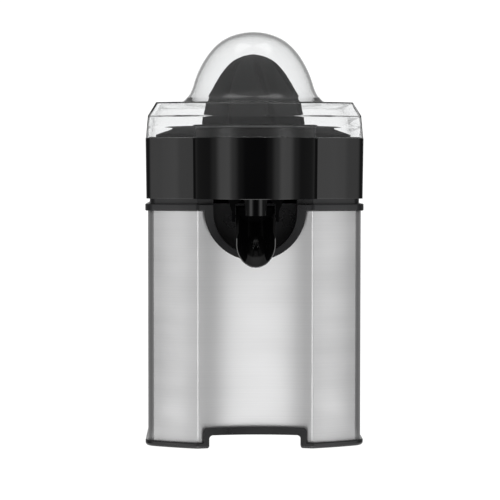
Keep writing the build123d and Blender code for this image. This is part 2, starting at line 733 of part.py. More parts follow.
motor_screw_places = [
    (rotor_x, rotor_y - CORE_GAP / 2 - CORE_LEG + MOTOR_SCREW_IN),
    (rotor_x, rotor_y + CORE_GAP / 2 + CORE_LEG - MOTOR_SCREW_IN),
    (rotor_x + CORE_AHEAD - CORE_BEHIND - CORE_YOKE / 2, rotor_y),
]
arm_y = SWITCH_W - SWITCH_FRONT
switch_pegs = [
    (SWITCH_L - SWITCH_AHEAD - PEG_IN, z_switch - PEG_UP),
    (PEG_IN - SWITCH_AHEAD, z_switch - SWITCH_H + PEG_UP),
]
with BuildPart() as gearbox_case:
    with BuildSketch(Plane.XY.offset(z_case)):
        add(case_plan)
    extrude(amount=CASE_H)
    with BuildSketch(Plane.XY.offset(z_case_in)):
        add(grown(case_plan, -CASE_WALL))
        with Locations(*ear_places):
            Circle(EAR_R, mode=Mode.SUBTRACT)
    extrude(amount=CASE_H, mode=Mode.SUBTRACT)
    with BuildSketch(Plane.XY.offset(z_case)):
        with Locations(*motor_screw_places):
            Circle(STANDOFF_R)
    extrude(amount=-CORE_DROP)
    with BuildSketch(Plane.XZ.offset(-arm_y)):
        with Locations((SWITCH_L / 2 - SWITCH_AHEAD, z_case)):
            Rectangle(SWITCH_L, 2 * (z_case - z_switch + SWITCH_H))
        with Locations((0, z_case + CASE_H)):
            Rectangle(CLEAR_CUT, 2 * CASE_H, mode=Mode.SUBTRACT)
    extrude(amount=-SWITCH_ARM_T)
    with BuildSketch(Plane.XY.offset(z_case)):
        Circle(bearing_r + SEAT)
        with Locations((rotor_x, rotor_y)):
            Circle(ROTOR_BUSH_R + SEAT)
        with Locations(*ear_places):
            Circle(GEAR_SCREW_R + SEAT)
    extrude(amount=CASE_H, mode=Mode.SUBTRACT)
    with BuildSketch(Plane((0, idler_y, z_case_in))):
        Circle(AXLE_R + SEAT)
    extrude(amount=-AXLE_SEAT - SEAT, mode=Mode.SUBTRACT)
    with BuildSketch(Plane.XY.offset(z_case - CORE_DROP)):
        with Locations(*motor_screw_places):
            Circle(MOTOR_SCREW_R + SEAT)
    extrude(amount=STANDOFF_GRIP + LOOSE, mode=Mode.SUBTRACT)
    with BuildSketch(Plane.XZ.offset(-arm_y)):
        with Locations(*switch_pegs):
            Circle(PEG_R + SEAT)
    extrude(amount=-SWITCH_ARM_T, mode=Mode.SUBTRACT)
gearbox_case.part.label = "gearbox_case"
export_step(gearbox_case.part, "parts/gearbox_case.step")

with BuildPart() as gearbox_lid:
    with BuildSketch(Plane.XY.offset(z_case_top)):
        add(case_plan)
        Circle(bearing_r + SEAT, mode=Mode.SUBTRACT)
        with Locations(*ear_places):
            Circle(GEAR_SCREW_R + SEAT, mode=Mode.SUBTRACT)
    extrude(amount=LID_T)
    with BuildSketch(Plane((0, idler_y, z_case_top))):
        Circle(AXLE_R + SEAT)
    extrude(amount=AXLE_SEAT + SEAT, mode=Mode.SUBTRACT)
gearbox_lid.part.label = "gearbox_lid"
export_step(gearbox_lid.part, "parts/gearbox_lid.step")

with BuildPart() as gearbox_screws:
    with Locations(*[(x, y, z_case - GEAR_SCREW_HEAD_H) for x, y in ear_places]):
        Cylinder(GEAR_SCREW_HEAD_R, GEAR_SCREW_HEAD_H, align=BASE_ALIGN)
        Cylinder(
            GEAR_SCREW_R,
            GEAR_SCREW_HEAD_H + CASE_H + LID_T + GEAR_SCREW_GRIP,
            align=BASE_ALIGN,
        )
gearbox_screws.part.label = "gearbox_screws"
export_step(gearbox_screws.part, "parts/gearbox_screws.step")

# Motor core: stacked plates in a U round the rotor
leg_y = (CORE_GAP + CORE_LEG) / 2
with BuildPart() as motor_core:
    with BuildSketch(Plane((rotor_x + CORE_AHEAD, rotor_y, z_core))):
        Rectangle(CORE_BEHIND + CORE_YOKE, CORE_GAP + 2 * CORE_LEG, align=(Align.MAX, Align.CENTER))
        Rectangle(CORE_BEHIND, CORE_GAP, align=(Align.MAX, Align.CENTER), mode=Mode.SUBTRACT)
    extrude(amount=CORE_H)
    with BuildSketch(Plane.XY.offset(z_core)):
        with Locations((rotor_x, rotor_y)):
            Circle(MAGNET_R + AIR_GAP)
        with Locations(*motor_screw_places):
            Circle(MOTOR_SCREW_R + SEAT)
    extrude(amount=CORE_H, mode=Mode.SUBTRACT)
motor_core.part.label = "motor_core"
export_step(motor_core.part, "parts/motor_core.step")

with BuildPart() as motor_coils:
    with Locations(
        (rotor_x - COIL_BEHIND, rotor_y - leg_y, z_core + CORE_H / 2),
        (rotor_x - COIL_BEHIND, rotor_y + leg_y, z_core + CORE_H / 2),
    ):
        Box(
            COIL_L,
            CORE_LEG + 2 * COIL_T,
            CORE_H + 2 * COIL_T,
            align=(Align.MAX, Align.CENTER, Align.CENTER),
        )
    fillet(motor_coils.edges().filter_by(Axis.X), COIL_T / 2)
    with Locations(
        (rotor_x - COIL_BEHIND, rotor_y - leg_y, z_core + CORE_H / 2),
        (rotor_x - COIL_BEHIND, rotor_y + leg_y, z_core + CORE_H / 2),
    ):
        Box(
            COIL_L,
            CORE_LEG + 2 * SEAT,
            CORE_H + 2 * SEAT,
            align=(Align.MAX, Align.CENTER, Align.CENTER),
            mode=Mode.SUBTRACT,
        )
motor_coils.part.label = "motor_coils"
export_step(motor_coils.part, "parts/motor_coils.step")

# Bracket under the core that carries the rotor's lower bearing
with BuildPart() as motor_bracket:
    with BuildSketch(Plane((rotor_x, rotor_y, z_bracket))):
        Rectangle(2 * BRACKET_HALF, CORE_GAP + 2 * CORE_LEG)
    extrude(amount=BRACKET_DROP)
    with BuildSketch(Plane((rotor_x, rotor_y, z_bracket + BRACKET_T))):
        Rectangle(2 * BRACKET_HALF, CORE_GAP + 2 * CORE_LEG - 2 * BRACKET_FOOT)
    extrude(amount=BRACKET_DROP, mode=Mode.SUBTRACT)
    with BuildSketch(Plane.XY.offset(z_bracket)):
        with Locations((rotor_x, rotor_y)):
            Circle(ROTOR_BUSH_R + SEAT)
        with Locations(*motor_screw_places[:2]):
            Circle(MOTOR_SCREW_R + SEAT)
    extrude(amount=BRACKET_DROP, mode=Mode.SUBTRACT)
motor_bracket.part.label = "motor_bracket"
export_step(motor_bracket.part, "parts/motor_bracket.step")

with BuildPart() as motor_screws:
    for place, z_head in zip(motor_screw_places, (z_bracket, z_bracket, z_core)):
        with Locations((*place, z_head)):
            Cylinder(
                2 * MOTOR_SCREW_R,
                GEAR_SCREW_HEAD_H,
                align=(Align.CENTER, Align.CENTER, Align.MAX),
            )
            Cylinder(
                MOTOR_SCREW_R,
                z_case - CORE_DROP + STANDOFF_GRIP - z_head,
                align=BASE_ALIGN,
            )
motor_screws.part.label = "motor_screws"
export_step(motor_screws.part, "parts/motor_screws.step")

# Rotor: shaft, magnet and fine pinion, with a bush at each end
z_rotor_top = z_fine + FINE_FACE + SEAT
with BuildPart() as rotor_shaft:
    with BuildSketch(Plane((rotor_x, rotor_y, z_bracket))):
        Circle(ROTOR_R)
    extrude(amount=z_rotor_top - z_bracket)
rotor_shaft.part.label = "rotor_shaft"
export_step(rotor_shaft.part, "parts/rotor_shaft.step")

with BuildPart() as rotor_magnet:
    with BuildSketch(Plane((rotor_x, rotor_y, z_core))):
        Circle(MAGNET_R)
        Circle(ROTOR_R + SEAT, mode=Mode.SUBTRACT)
    extrude(amount=CORE_H)
rotor_magnet.part.label = "rotor_magnet"
export_step(rotor_magnet.part, "parts/rotor_magnet.step")

with BuildPart() as rotor_pinion:
    with BuildSketch(Plane((rotor_x, rotor_y, z_fine))):
        add(
            gear_plan(
                PINION_TEETH,
                FINE_MODULE,
                PINION_ADDENDUM,
                PINION_DEDENDUM,
                ROTOR_TURN + 180 + 180 / PINION_TEETH,
            )
        )
        Circle(ROTOR_R + SEAT, mode=Mode.SUBTRACT)
    extrude(amount=FINE_FACE)
rotor_pinion.part.label = "rotor_pinion"
export_step(rotor_pinion.part, "parts/rotor_pinion.step")

with BuildPart() as rotor_bushes:
    for z_low, height in ((z_bracket, BRACKET_T), (z_case, CASE_T)):
        with BuildSketch(Plane((rotor_x, rotor_y, z_low))):
            Circle(ROTOR_BUSH_R)
            Circle(ROTOR_R + RUN, mode=Mode.SUBTRACT)
        extrude(amount=height)
rotor_bushes.part.label = "rotor_bushes"
export_step(rotor_bushes.part, "parts/rotor_bushes.step")

# Switch on its arm, with the button under the end of the shaft
with BuildPart() as switch_body:
    with Locations((-SWITCH_AHEAD, -SWITCH_FRONT, z_switch)):
        Box(SWITCH_L, SWITCH_W - SEAT, SWITCH_H, align=(Align.MIN, Align.MIN, Align.MAX))
    with Locations((0, 0, z_switch)):
        Box(
            BUTTON_W + 2 * LOOSE,
            BUTTON_L + 2 * LOOSE,
            BUTTON_SUNK + PRESS + LOOSE,
            align=(Align.CENTER, Align.CENTER, Align.MAX),
            mode=Mode.SUBTRACT,
        )
    with BuildSketch(Plane.XZ):
        with Locations(*switch_pegs):
            Circle(PEG_R + SEAT)
    extrude(amount=SWITCH_W, both=True, mode=Mode.SUBTRACT)
switch_body.part.label = "switch_body"
export_step(switch_body.part, "parts/switch_body.step")

with BuildPart() as switch_button:
    with Locations((0, 0, z_switch - BUTTON_SUNK)):
        Box(BUTTON_W, BUTTON_L, BUTTON_SUNK + BUTTON_PROUD, align=BASE_ALIGN)
switch_button.part.label = "switch_button"
export_step(switch_button.part, "parts/switch_button.step")

with BuildPart() as switch_screws:
    with BuildSketch(Plane.XZ.offset(SWITCH_FRONT)):
        with Locations(*switch_pegs):
            Circle(PEG_R)
    extrude(amount=-(SWITCH_W + SWITCH_ARM_T))
    with BuildSketch(Plane.XZ.offset(SWITCH_FRONT)):
        with Locations(*switch_pegs):
            Circle(2 * PEG_R)
    extrude(amount=PEG_R)
switch_screws.part.label = "switch_screws"
export_step(switch_screws.part, "parts/switch_screws.step")

# Juice bowl: space for the juice, its floor falling towards the nose
nose_floor = Plane((0, BOWL_T - NOSE_APEX, z_bowl + BOWL_FLOOR_T), z_dir=(0, -FLOOR_RISE, BACK_Y + NOSE_APEX))
with BuildPart() as bowl_space:
    with BuildSketch(Plane.XY.offset(z_bowl)):
        add(bowl_in_plan)
    extrude(amount=BOWL_H)
    split(bisect_by=nose_floor, keep=Keep.TOP)

z_pin = z_bowl - PIN_DROP
lug_in = SPOUT_R + LUG_GAP
with BuildPart() as juice_bowl:
    with BuildSketch(Plane.XY.offset(z_bowl)):
        add(bowl_plan)
    extrude(amount=BOWL_H)
    fillet(juice_bowl.faces().sort_by(Axis.Z)[0].edges(), BOWL_EDGE_R)
    add(bowl_space.part, mode=Mode.SUBTRACT)
    with BuildSketch(Plane.XY.offset(z_rim - LIP_H)):
        add(lip_plan)
        add(lip_in_plan, mode=Mode.SUBTRACT)
    extrude(amount=2 * LIP_H)
    with BuildSketch(Plane.XY.offset(z_rim + LIP_LOW)):
        with Locations((0, -RIDGE_Y)):
            Rectangle(CLEAR_CUT, CLEAR_CUT, align=(Align.CENTER, Align.MIN))
    extrude(amount=LIP_H, mode=Mode.SUBTRACT)
    with BuildSketch(Plane.XY.offset(z_bowl)):
        Circle(chimney_r)
    extrude(amount=CHIMNEY_H)
    with BuildSketch(Plane.XY.offset(z_bowl)):
        Circle(chimney_in_r)
    extrude(amount=CHIMNEY_H, mode=Mode.SUBTRACT)
    with BuildSketch(Plane((0, -NOZZLE_Y, z_bowl + BOWL_FLOOR_T))):
        Circle(NOZZLE_R)
    extrude(amount=-(NOZZLE_H + BOWL_FLOOR_T))
    with BuildSketch(Plane((0, -NOZZLE_Y, z_rim))):
        Circle(NOZZLE_BORE_R)
    extrude(amount=-(BOWL_H + NOZZLE_H), mode=Mode.SUBTRACT)
    with BuildSketch(Plane.XZ.offset(PIN_Y - LUG_L / 2)):
        for side in (1, -1):
            with BuildLine():
                Polyline(
                    (side * lug_in, z_bowl + BOWL_FLOOR_T / 2),
                    (side * (lug_in + LUG_T + LUG_GUSSET), z_bowl + BOWL_FLOOR_T / 2),
                    (side * (lug_in + LUG_T), z_pin + LUG_BELOW_PIN),
                    (side * (lug_in + LUG_T), z_pin - LUG_BELOW_PIN),
                    (side * lug_in, z_pin - LUG_BELOW_PIN),
                    close=True,
                )
            make_face()
    extrude(amount=LUG_L)
    with BuildSketch(Plane.YZ):
        with Locations((-PIN_Y, z_pin)):
            Circle(PIN_R + SEAT)
    extrude(amount=lug_in + LUG_T, both=True, mode=Mode.SUBTRACT)
juice_bowl.part.label = "juice_bowl"
export_step(juice_bowl.part, "parts/juice_bowl.step")

# Spout: a sloping trough hung on two stub pins, its mouth cut almost upright
slope = radians(SPOUT_SLOPE)
spout_plane = Plane((0, -PIN_Y, z_pin), x_dir=(1, 0, 0), z_dir=(0, -cos(slope), -sin(slope)))
mouth_lean = SPOUT_FLOOR_REACH - SPOUT_TOP_REACH
mouth_out = spout_plane.z_dir * (SPOUT_R + SPOUT_WALL) + spout_plane.y_dir * mouth_lean
mouth = Plane(spout_plane.from_local_coords(Vector(0, SPOUT_WALL, SPOUT_TOP_REACH)), z_dir=mouth_out)
with BuildPart() as drip_spout:
    with BuildSketch(spout_plane.offset(-SPOUT_BACK)):
        Circle(SPOUT_R)
        Rectangle(2 * SPOUT_R, SPOUT_WALL, align=(Align.CENTER, Align.MIN))
        with Locations((0, SPOUT_WALL)):
            Rectangle(2 * SPOUT_R, SPOUT_R, align=(Align.CENTER, Align.MIN), mode=Mode.SUBTRACT)
    extrude(amount=SPOUT_BACK + SPOUT_FLOOR_REACH)
    with BuildSketch(spout_plane.offset(SPOUT_T - SPOUT_BACK)):
        Circle(SPOUT_R - SPOUT_T)
        Rectangle(2 * (SPOUT_R - SPOUT_T), SPOUT_R, align=(Align.CENTER, Align.MIN))
    extrude(amount=SPOUT_BACK + SPOUT_FLOOR_REACH, mode=Mode.SUBTRACT)
    split(bisect_by=mouth, keep=Keep.BOTTOM)
    with BuildSketch(Plane.YZ):
        with Locations((-PIN_Y, z_pin)):
            Circle(PIN_R + RUN)
    extrude(amount=SPOUT_R, both=True, mode=Mode.SUBTRACT)
drip_spout.part.label = "drip_spout"
export_step(drip_spout.part, "parts/drip_spout.step")

with BuildPart() as spout_pins:
    for side in (1, -1):
        with BuildSketch(Plane.YZ.offset(side * (SPOUT_R - SPOUT_T))):
            with Locations((-PIN_Y, z_pin)):
                Circle(PIN_R)
        extrude(amount=side * (SPOUT_T + LUG_GAP + LUG_T))
spout_pins.part.label = "spout_pins"
export_step(spout_pins.part, "parts/spout_pins.step")

# Strainer basket on the chimney: hub, slotted floor, wall and a falling flange
z_hook = z_basket - BASKET_T - SEAT - RING_T - LOOSE
z_flange_edge = z_flange - FLANGE_FALL
flange_mid_r = (FLANGE_IN_R + FLANGE_OUT_R) / 2
z_flange_mid = z_flange - FLANGE_FALL / 2 + FLANGE_BOW
with BuildPart() as strainer_basket:
    with BuildSketch(Plane.XZ):
        with BuildLine():
            Polyline(
                (FLANGE_IN_R, z_flange),
                (BASKET_R, z_basket),
                (HUB_R + RUN, z_basket),
                (HUB_R + RUN, z_chimney),
                (BASKET_HUB_R, z_chimney),
                (BASKET_HUB_R, z_hook - HOOK_T),
                (HOOK_R, z_hook - HOOK_T),
                (HOOK_R, z_hook),
                (BASKET_HUB_R, z_hook),
                (BASKET_HUB_R, z_basket - BASKET_T),
                (BASKET_R + BASKET_T, z_basket - BASKET_T),
                (FLANGE_IN_R + BASKET_T, z_flange - BASKET_T),
            )
            ThreePointArc(
                (FLANGE_IN_R + BASKET_T, z_flange - BASKET_T),
                (flange_mid_r + BASKET_T / 2, z_flange_mid - BASKET_T),
                (FLANGE_OUT_R, z_flange_edge - BASKET_T),
            )
            Line((FLANGE_OUT_R, z_flange_edge - BASKET_T), (FLANGE_OUT_R, z_flange_edge))
            ThreePointArc(
                (FLANGE_OUT_R, z_flange_edge),
                (flange_mid_r, z_flange_mid),
                (FLANGE_IN_R, z_flange),
            )
        make_face()
    revolve(axis=Axis.Z)
    with BuildSketch(Plane.XY.offset(z_basket)):
        with PolarLocations(SLOT_IN_R + SLOT_L / 2, SLOTS):
            SlotOverall(SLOT_L, SLOT_W)
    extrude(amount=-BASKET_T, mode=Mode.SUBTRACT)
strainer_basket.part.label = "strainer_basket"
export_step(strainer_basket.part, "parts/strainer_basket.step")

# Pulp control ring, turning under the strainer's floor on the hub's hook
z_ring = z_hook + LOOSE / 2
with BuildPart() as pulp_control_ring:
    with BuildSketch(Plane.XY.offset(z_ring)):
        Circle(RING_R)
        Circle(BASKET_HUB_R + LOOSE, mode=Mode.SUBTRACT)
        with PolarLocations(SLOT_IN_R + SLOT_L / 2, SLOTS):
            SlotOverall(SLOT_L, SLOT_W, mode=Mode.SUBTRACT)
    extrude(amount=RING_T)
    with Locations((0, RING_R, z_ring)):
        Box(TAB_W, RING_T, TAB_H, align=(Align.CENTER, Align.MAX, Align.MAX))
pulp_control_ring.part.label = "pulp_control_ring"
export_step(pulp_control_ring.part, "parts/pulp_control_ring.step")

# Reamer hub: a sleeve that turns in the strainer and takes the shaft's six-sided end
with BuildPart() as reamer_hub:
    with BuildSketch(Plane.XY.offset(z_chimney + LOOSE)):
        Circle(HUB_R)
    extrude(amount=z_basket + SEAT - z_chimney - LOOSE)
    with BuildSketch(Plane.XY.offset(z_basket + SEAT)):
        Circle(HUB_FLANGE_R)
    extrude(amount=HUB_FLANGE_T)
    with BuildSketch(Plane.XY.offset(z_hub)):
        RegularPolygon(HUB_HEX_R, 6)
    extrude(amount=HUB_HEX_H)
    with BuildSketch(Plane.XY.offset(z_chimney)):
        RegularPolygon(SHAFT_R + LOOSE / 2, 6)
    extrude(amount=z_hub + HUB_HEX_H - z_chimney, mode=Mode.SUBTRACT)
reamer_hub.part.label = "reamer_hub"
export_step(reamer_hub.part, "parts/reamer_hub.step")

# Reamer: a hollow ogive with broad ribs, its core socketed for the hub
socket_r = HUB_HEX_R + LOOSE
core_r = socket_r + SOCKET_T
inset = REAMER_T + GROOVE_DEPTH
with BuildPart() as reamer:
    with BuildSketch(Plane.XZ):
        with BuildLine():
            Polyline(
                (0, z_reamer + REAMER_H),
                (0, z_reamer),
                (REAMER_R, z_reamer),
                (WAIST_R, z_reamer + WAIST_H),
                (CROWN_R, z_reamer + CROWN_H),
            )
            Spline(
                (CROWN_R, z_reamer + CROWN_H),
                (BROW_R, z_reamer + BROW_H),
                (0, z_reamer + REAMER_H),
                tangents=((CROWN_R - WAIST_R, CROWN_H - WAIST_H), (-1, 0)),
            )
        make_face()
    revolve(axis=Axis.Z)
    with BuildSketch(Plane.XZ):
        with BuildLine():
            Polyline(
                (core_r, z_reamer),
                (REAMER_R - inset, z_reamer),
                (WAIST_R - inset, z_reamer + WAIST_H),
                (core_r, z_reamer + CROWN_H - inset),
                close=True,
            )
        make_face()
    revolve(axis=Axis.Z, mode=Mode.SUBTRACT)
    with BuildSketch(Plane.XY.offset(z_reamer)):
        RegularPolygon(socket_r, 6)
    extrude(amount=z_socket - z_reamer, mode=Mode.SUBTRACT)
    with BuildSketch(Plane.XY.offset(z_reamer)):
        Circle(SHAFT_R + LOOSE)
    extrude(amount=z_shaft_top + SEAT - z_reamer, mode=Mode.SUBTRACT)
    for rib in range(RIBS):
        turn = 2 * pi * (rib + 0.5) / RIBS
        meridian = Plane((0, 0, z_reamer), x_dir=(cos(turn), sin(turn), 0), z_dir=(sin(turn), -cos(turn), 0))
        with BuildSketch(meridian):
            with BuildLine():
                Polyline(
                    (REAMER_R + GROOVE_DEPTH, GROOVE_FOOT),
                    (REAMER_R, GROOVE_FOOT),
                    (WAIST_R - GROOVE_DEPTH, WAIST_H),
                    (CROWN_R - GROOVE_DEPTH, CROWN_H),
                    (BROW_R - GROOVE_DEPTH, BROW_H - GROOVE_DEPTH),
                    (GROOVE_TOP_R, REAMER_H),
                    (REAMER_R + GROOVE_DEPTH, REAMER_H),
                    close=True,
                )
            make_face()
        extrude(amount=GROOVE_W / 2, both=True, mode=Mode.SUBTRACT)
reamer.part.label = "reamer"
export_step(reamer.part, "parts/reamer.step")


def dome_region(sphere_r, blend_r, z_low):
    """Half section of the dome: a round cap that runs out into the deck, down to this level."""
    lean = asin((z_deck + DOME_FILLET - sphere_z) / (DOME_R + DOME_FILLET))
    run_out = (DOME_R + DOME_FILLET) * cos(lean)
    blend_z = z_deck + DOME_FILLET
    half_way = (lean + pi / 2) / 2
    meet = (sphere_r * cos(lean), sphere_z + sphere_r * sin(lean))
    turn = pi + lean + (pi / 2 - lean) / 2
    with BuildSketch(Plane.XZ) as region:
        with BuildLine():
            ThreePointArc(
                (0, sphere_z + sphere_r),
                (sphere_r * cos(half_way), sphere_z + sphere_r * sin(half_way)),
                meet,
            )
            ThreePointArc(
                meet,
                (run_out + blend_r * cos(turn), blend_z + blend_r * sin(turn)),
                (run_out, blend_z - blend_r),
            )
            Polyline((run_out, blend_z - blend_r), (run_out, z_low), (0, z_low), (0, sphere_z + sphere_r))
        make_face()
    return region.sketch


# Clear cover: skirt with a nose, chamfered deck and dome, all of one wall
sphere_z = z_top - DOME_R
dome_outside = dome_region(DOME_R, DOME_FILLET, z_deck - COVER_T)
dome_inside = dome_region(DOME_R - COVER_T, DOME_FILLET + COVER_T, z_deck - 2 * COVER_T)

with BuildPart() as cover_space:
    with BuildSketch(Plane.XY.offset(z_rim)):
        add(grown(cap_plan, -COVER_T))
    extrude(amount=z_deck - COVER_T - z_rim)
    ceiling = cover_space.faces().sort_by(Axis.Z)[-1]
    chamfer(ceiling.edges(), CHAMFER_IN, CHAMFER_H, reference=ceiling)
    with BuildSketch(Plane.XY.offset(z_rim)):
        add(cover_in_plan)
    extrude(amount=COVER_NOSE_H - COVER_T)
    add(dome_inside)
    revolve(axis=Axis.Z)

with BuildPart() as dust_cover:
    with BuildSketch(Plane.XY.offset(z_rim)):
        add(cap_plan)
    extrude(amount=z_deck - z_rim)
    deck_face = dust_cover.faces().sort_by(Axis.Z)[-1]
    chamfer(deck_face.edges(), CHAMFER_IN, CHAMFER_H, reference=deck_face)
    with BuildSketch(Plane.XY.offset(z_rim)):
        add(bowl_plan)
    extrude(amount=COVER_NOSE_H)
    add(dome_outside)
    revolve(axis=Axis.Z)
    add(cover_space.part, mode=Mode.SUBTRACT)
dust_cover.part.label = "dust_cover"
export_step(dust_cover.part, "parts/dust_cover.step")
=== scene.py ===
"""Looks of an upright electric citrus juicer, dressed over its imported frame.

The frame's axes hold: Z is up from the worktop, the front faces -Y and the drive axis is the Z axis.
Pieces have their sizes in millimetres; finishes, studio and camera are in metres.
"""

import logging
from dataclasses import dataclass
from enum import Enum
from math import atan2, cos, exp, pi, radians, sin, tan

import bpy
from mathutils import Euler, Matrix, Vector


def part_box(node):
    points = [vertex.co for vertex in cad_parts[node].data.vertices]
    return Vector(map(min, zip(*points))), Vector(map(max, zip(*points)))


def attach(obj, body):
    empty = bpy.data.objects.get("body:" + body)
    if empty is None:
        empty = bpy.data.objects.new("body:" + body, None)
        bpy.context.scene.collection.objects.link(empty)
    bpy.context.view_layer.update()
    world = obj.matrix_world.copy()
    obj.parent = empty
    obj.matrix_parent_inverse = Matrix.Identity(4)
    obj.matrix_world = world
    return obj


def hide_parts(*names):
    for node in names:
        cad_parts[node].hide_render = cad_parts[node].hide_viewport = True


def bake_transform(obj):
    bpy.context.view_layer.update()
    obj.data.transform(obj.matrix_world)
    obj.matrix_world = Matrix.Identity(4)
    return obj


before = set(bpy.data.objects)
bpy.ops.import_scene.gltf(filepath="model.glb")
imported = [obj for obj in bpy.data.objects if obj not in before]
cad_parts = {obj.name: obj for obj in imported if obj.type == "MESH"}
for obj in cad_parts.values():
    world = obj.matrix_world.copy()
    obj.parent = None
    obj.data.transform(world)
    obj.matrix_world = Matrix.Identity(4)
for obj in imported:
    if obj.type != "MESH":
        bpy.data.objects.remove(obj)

log = logging.getLogger("juicer")

Color = tuple[float, float, float]
Pair = tuple[float, float]
Triple = tuple[float, float, float]
MM = 0.001
NOISE_RANGE: Pair = (0.3, 0.7)
ARC_STEPS = 32
CREASE = 35.0


class Graph:
    """A material's node tree with one Principled shader, and short ways to feed it."""

    def __init__(self, name: str) -> None:
        """Starts a material.

        Args:
            name: The material's name.
        """
        self.material = bpy.data.materials.new(name)
        self.material.use_nodes = True
        self.tree = self.material.node_tree
        self.shader = next(node for node in self.tree.nodes if node.type == "BSDF_PRINCIPLED")
        self.place = self.node("ShaderNodeTexCoord").outputs["Object"]

    def node(self, kind: str, **settings: object) -> bpy.types.Node:
        """Adds a node.

        Args:
            kind: Blender's name for the node type.
            settings: Properties to set on it.

        Returns:
            The new node.
        """
        made = self.tree.nodes.new(kind)
        for key, value in settings.items():
            setattr(made, key, value)
        return made

    def link(self, source: bpy.types.NodeSocket, target: bpy.types.NodeSocket) -> None:
        """Joins an output to an input."""
        self.tree.links.new(source, target)

    def set(self, **values: object) -> None:
        """Sets plain values on the shader, with underscores for the spaces in a socket's name."""
        for key, value in values.items():
            self.shader.inputs[key.replace("_", " ")].default_value = value

    def feed(self, socket: str, source: bpy.types.NodeSocket) -> None:
        """Drives one of the shader's inputs from a node."""
        self.link(source, self.shader.inputs[socket])

    def noise(self, per_metre: Triple, detail: float = 2.0, rough: float = 0.5) -> bpy.types.NodeSocket:
        """A noise field over the object.

        Args:
            per_metre: How many features fit in a metre along each axis.
            detail: Octaves of finer noise.
            rough: How strongly the finer octaves show.

        Returns:
            The noise value, about 0.5 on average.
        """
        mapping = self.node("ShaderNodeMapping")
        mapping.inputs["Scale"].default_value = per_metre
        self.link(self.place, mapping.inputs["Vector"])
        field = self.node("ShaderNodeTexNoise")
        field.inputs["Scale"].default_value = 1.0
        field.inputs["Detail"].default_value = detail
        field.inputs["Roughness"].default_value = rough
        self.link(mapping.outputs["Vector"], field.inputs["Vector"])
        return field.outputs["Fac"]

    def spread(self, source: bpy.types.NodeSocket, low: float, high: float) -> bpy.types.NodeSocket:
        """Stretches a noise value's usual range over a range of its own.

        Args:
            source: The noise value.
            low: What it gives where the noise is weak.
            high: What it gives where the noise is strong.

        Returns:
            The stretched value.
        """
        ranged = self.node("ShaderNodeMapRange")
        ranged.inputs["From Min"].default_value = NOISE_RANGE[0]
        ranged.inputs["From Max"].default_value = NOISE_RANGE[1]
        ranged.inputs["To Min"].default_value = low
        ranged.inputs["To Max"].default_value = high
        self.link(source, ranged.inputs["Value"])
        return ranged.outputs["Result"]

    def tint(self, source: bpy.types.NodeSocket, low: Color, high: Color) -> bpy.types.NodeSocket:
        """A colour that wanders between two.

        Args:
            source: The noise value.
            low: Colour where the noise is weak.
            high: Colour where the noise is strong.

        Returns:
            The colour.
        """
        ramp = self.node("ShaderNodeValToRGB")
        for element, position, color in zip(ramp.color_ramp.elements, NOISE_RANGE, (low, high)):
            element.position = position
            element.color = (*color, 1.0)
        self.link(source, ramp.inputs["Fac"])
        return ramp.outputs["Color"]

    def paint(self, source: bpy.types.NodeSocket, color: Color, tones: Pair) -> None:
        """Lets the shader's colour wander between two tones of one colour.

        Args:
            source: The noise value.
            color: The colour.
            tones: Factors on it where the noise is weak and where it is strong.
        """
        low, high = (shade(color, tone) for tone in tones)
        self.feed("Base Color", self.tint(source, low, high))

    def bump(self, source: bpy.types.NodeSocket, depth: float) -> None:
        """Raises the surface by a noise value.

        Args:
            source: The noise value.
            depth: Height of the relief in metres.
        """
        relief = self.node("ShaderNodeBump")
        relief.inputs["Strength"].default_value = 1.0
        relief.inputs["Distance"].default_value = depth
        self.link(source, relief.inputs["Height"])
        self.link(relief.outputs["Normal"], self.shader.inputs["Normal"])


def shade(color: Color, factor: float) -> Color:
    """A colour made lighter or darker by a factor."""
    return tuple(channel * factor for channel in color)


@dataclass(frozen=True)
class BrushedSteel:
    """Sheet steel with a fine level brush, which spreads its highlights up and down."""

    name: str = "brushed_steel"
    color: Color = (0.74, 0.74, 0.743)
    tones: Pair = (0.96, 1.03)
    roughness: Pair = (0.42, 0.48)
    spread: float = 0.97
    line: Triple = (8.0, 8.0, 3200.0)
    cloud: Triple = (14.0, 14.0, 40.0)
    depth: float = 0.000004

    def make(self) -> bpy.types.Material:
        """Builds the material."""
        graph = Graph(self.name)
        lines = graph.noise(self.line, detail=4.0, rough=0.7)
        graph.paint(lines, self.color, self.tones)
        graph.feed("Roughness", graph.spread(graph.noise(self.cloud), *self.roughness))
        graph.bump(lines, self.depth)
        tangent = graph.node("ShaderNodeTangent", direction_type="RADIAL", axis="Z")
        graph.feed("Tangent", tangent.outputs["Tangent"])
        graph.set(Metallic=1.0, Anisotropic=self.spread, Anisotropic_Rotation=0.25)
        return graph.material


@dataclass(frozen=True)
class MouldedPlastic:
    """Opaque plastic with a moulded grain, from polished to matt."""

    name: str
    color: Color
    roughness: Pair
    grain: float = 1200.0
    depth: float = 0.00001
    cloud: float = 18.0
    tones: Pair = (0.88, 1.12)
    sheen: float = 0.5

    def make(self) -> bpy.types.Material:
        """Builds the material."""
        graph = Graph(self.name)
        cloud = graph.noise((self.cloud,) * 3, detail=3.0)
        graph.paint(cloud, self.color, self.tones)
        graph.feed("Roughness", graph.spread(graph.noise((self.cloud * 3,) * 3, detail=4.0), *self.roughness))
        graph.bump(graph.noise((self.grain,) * 3, detail=2.0), self.depth)
        graph.set(IOR=1.5, Specular_IOR_Level=self.sheen)
        return graph.material


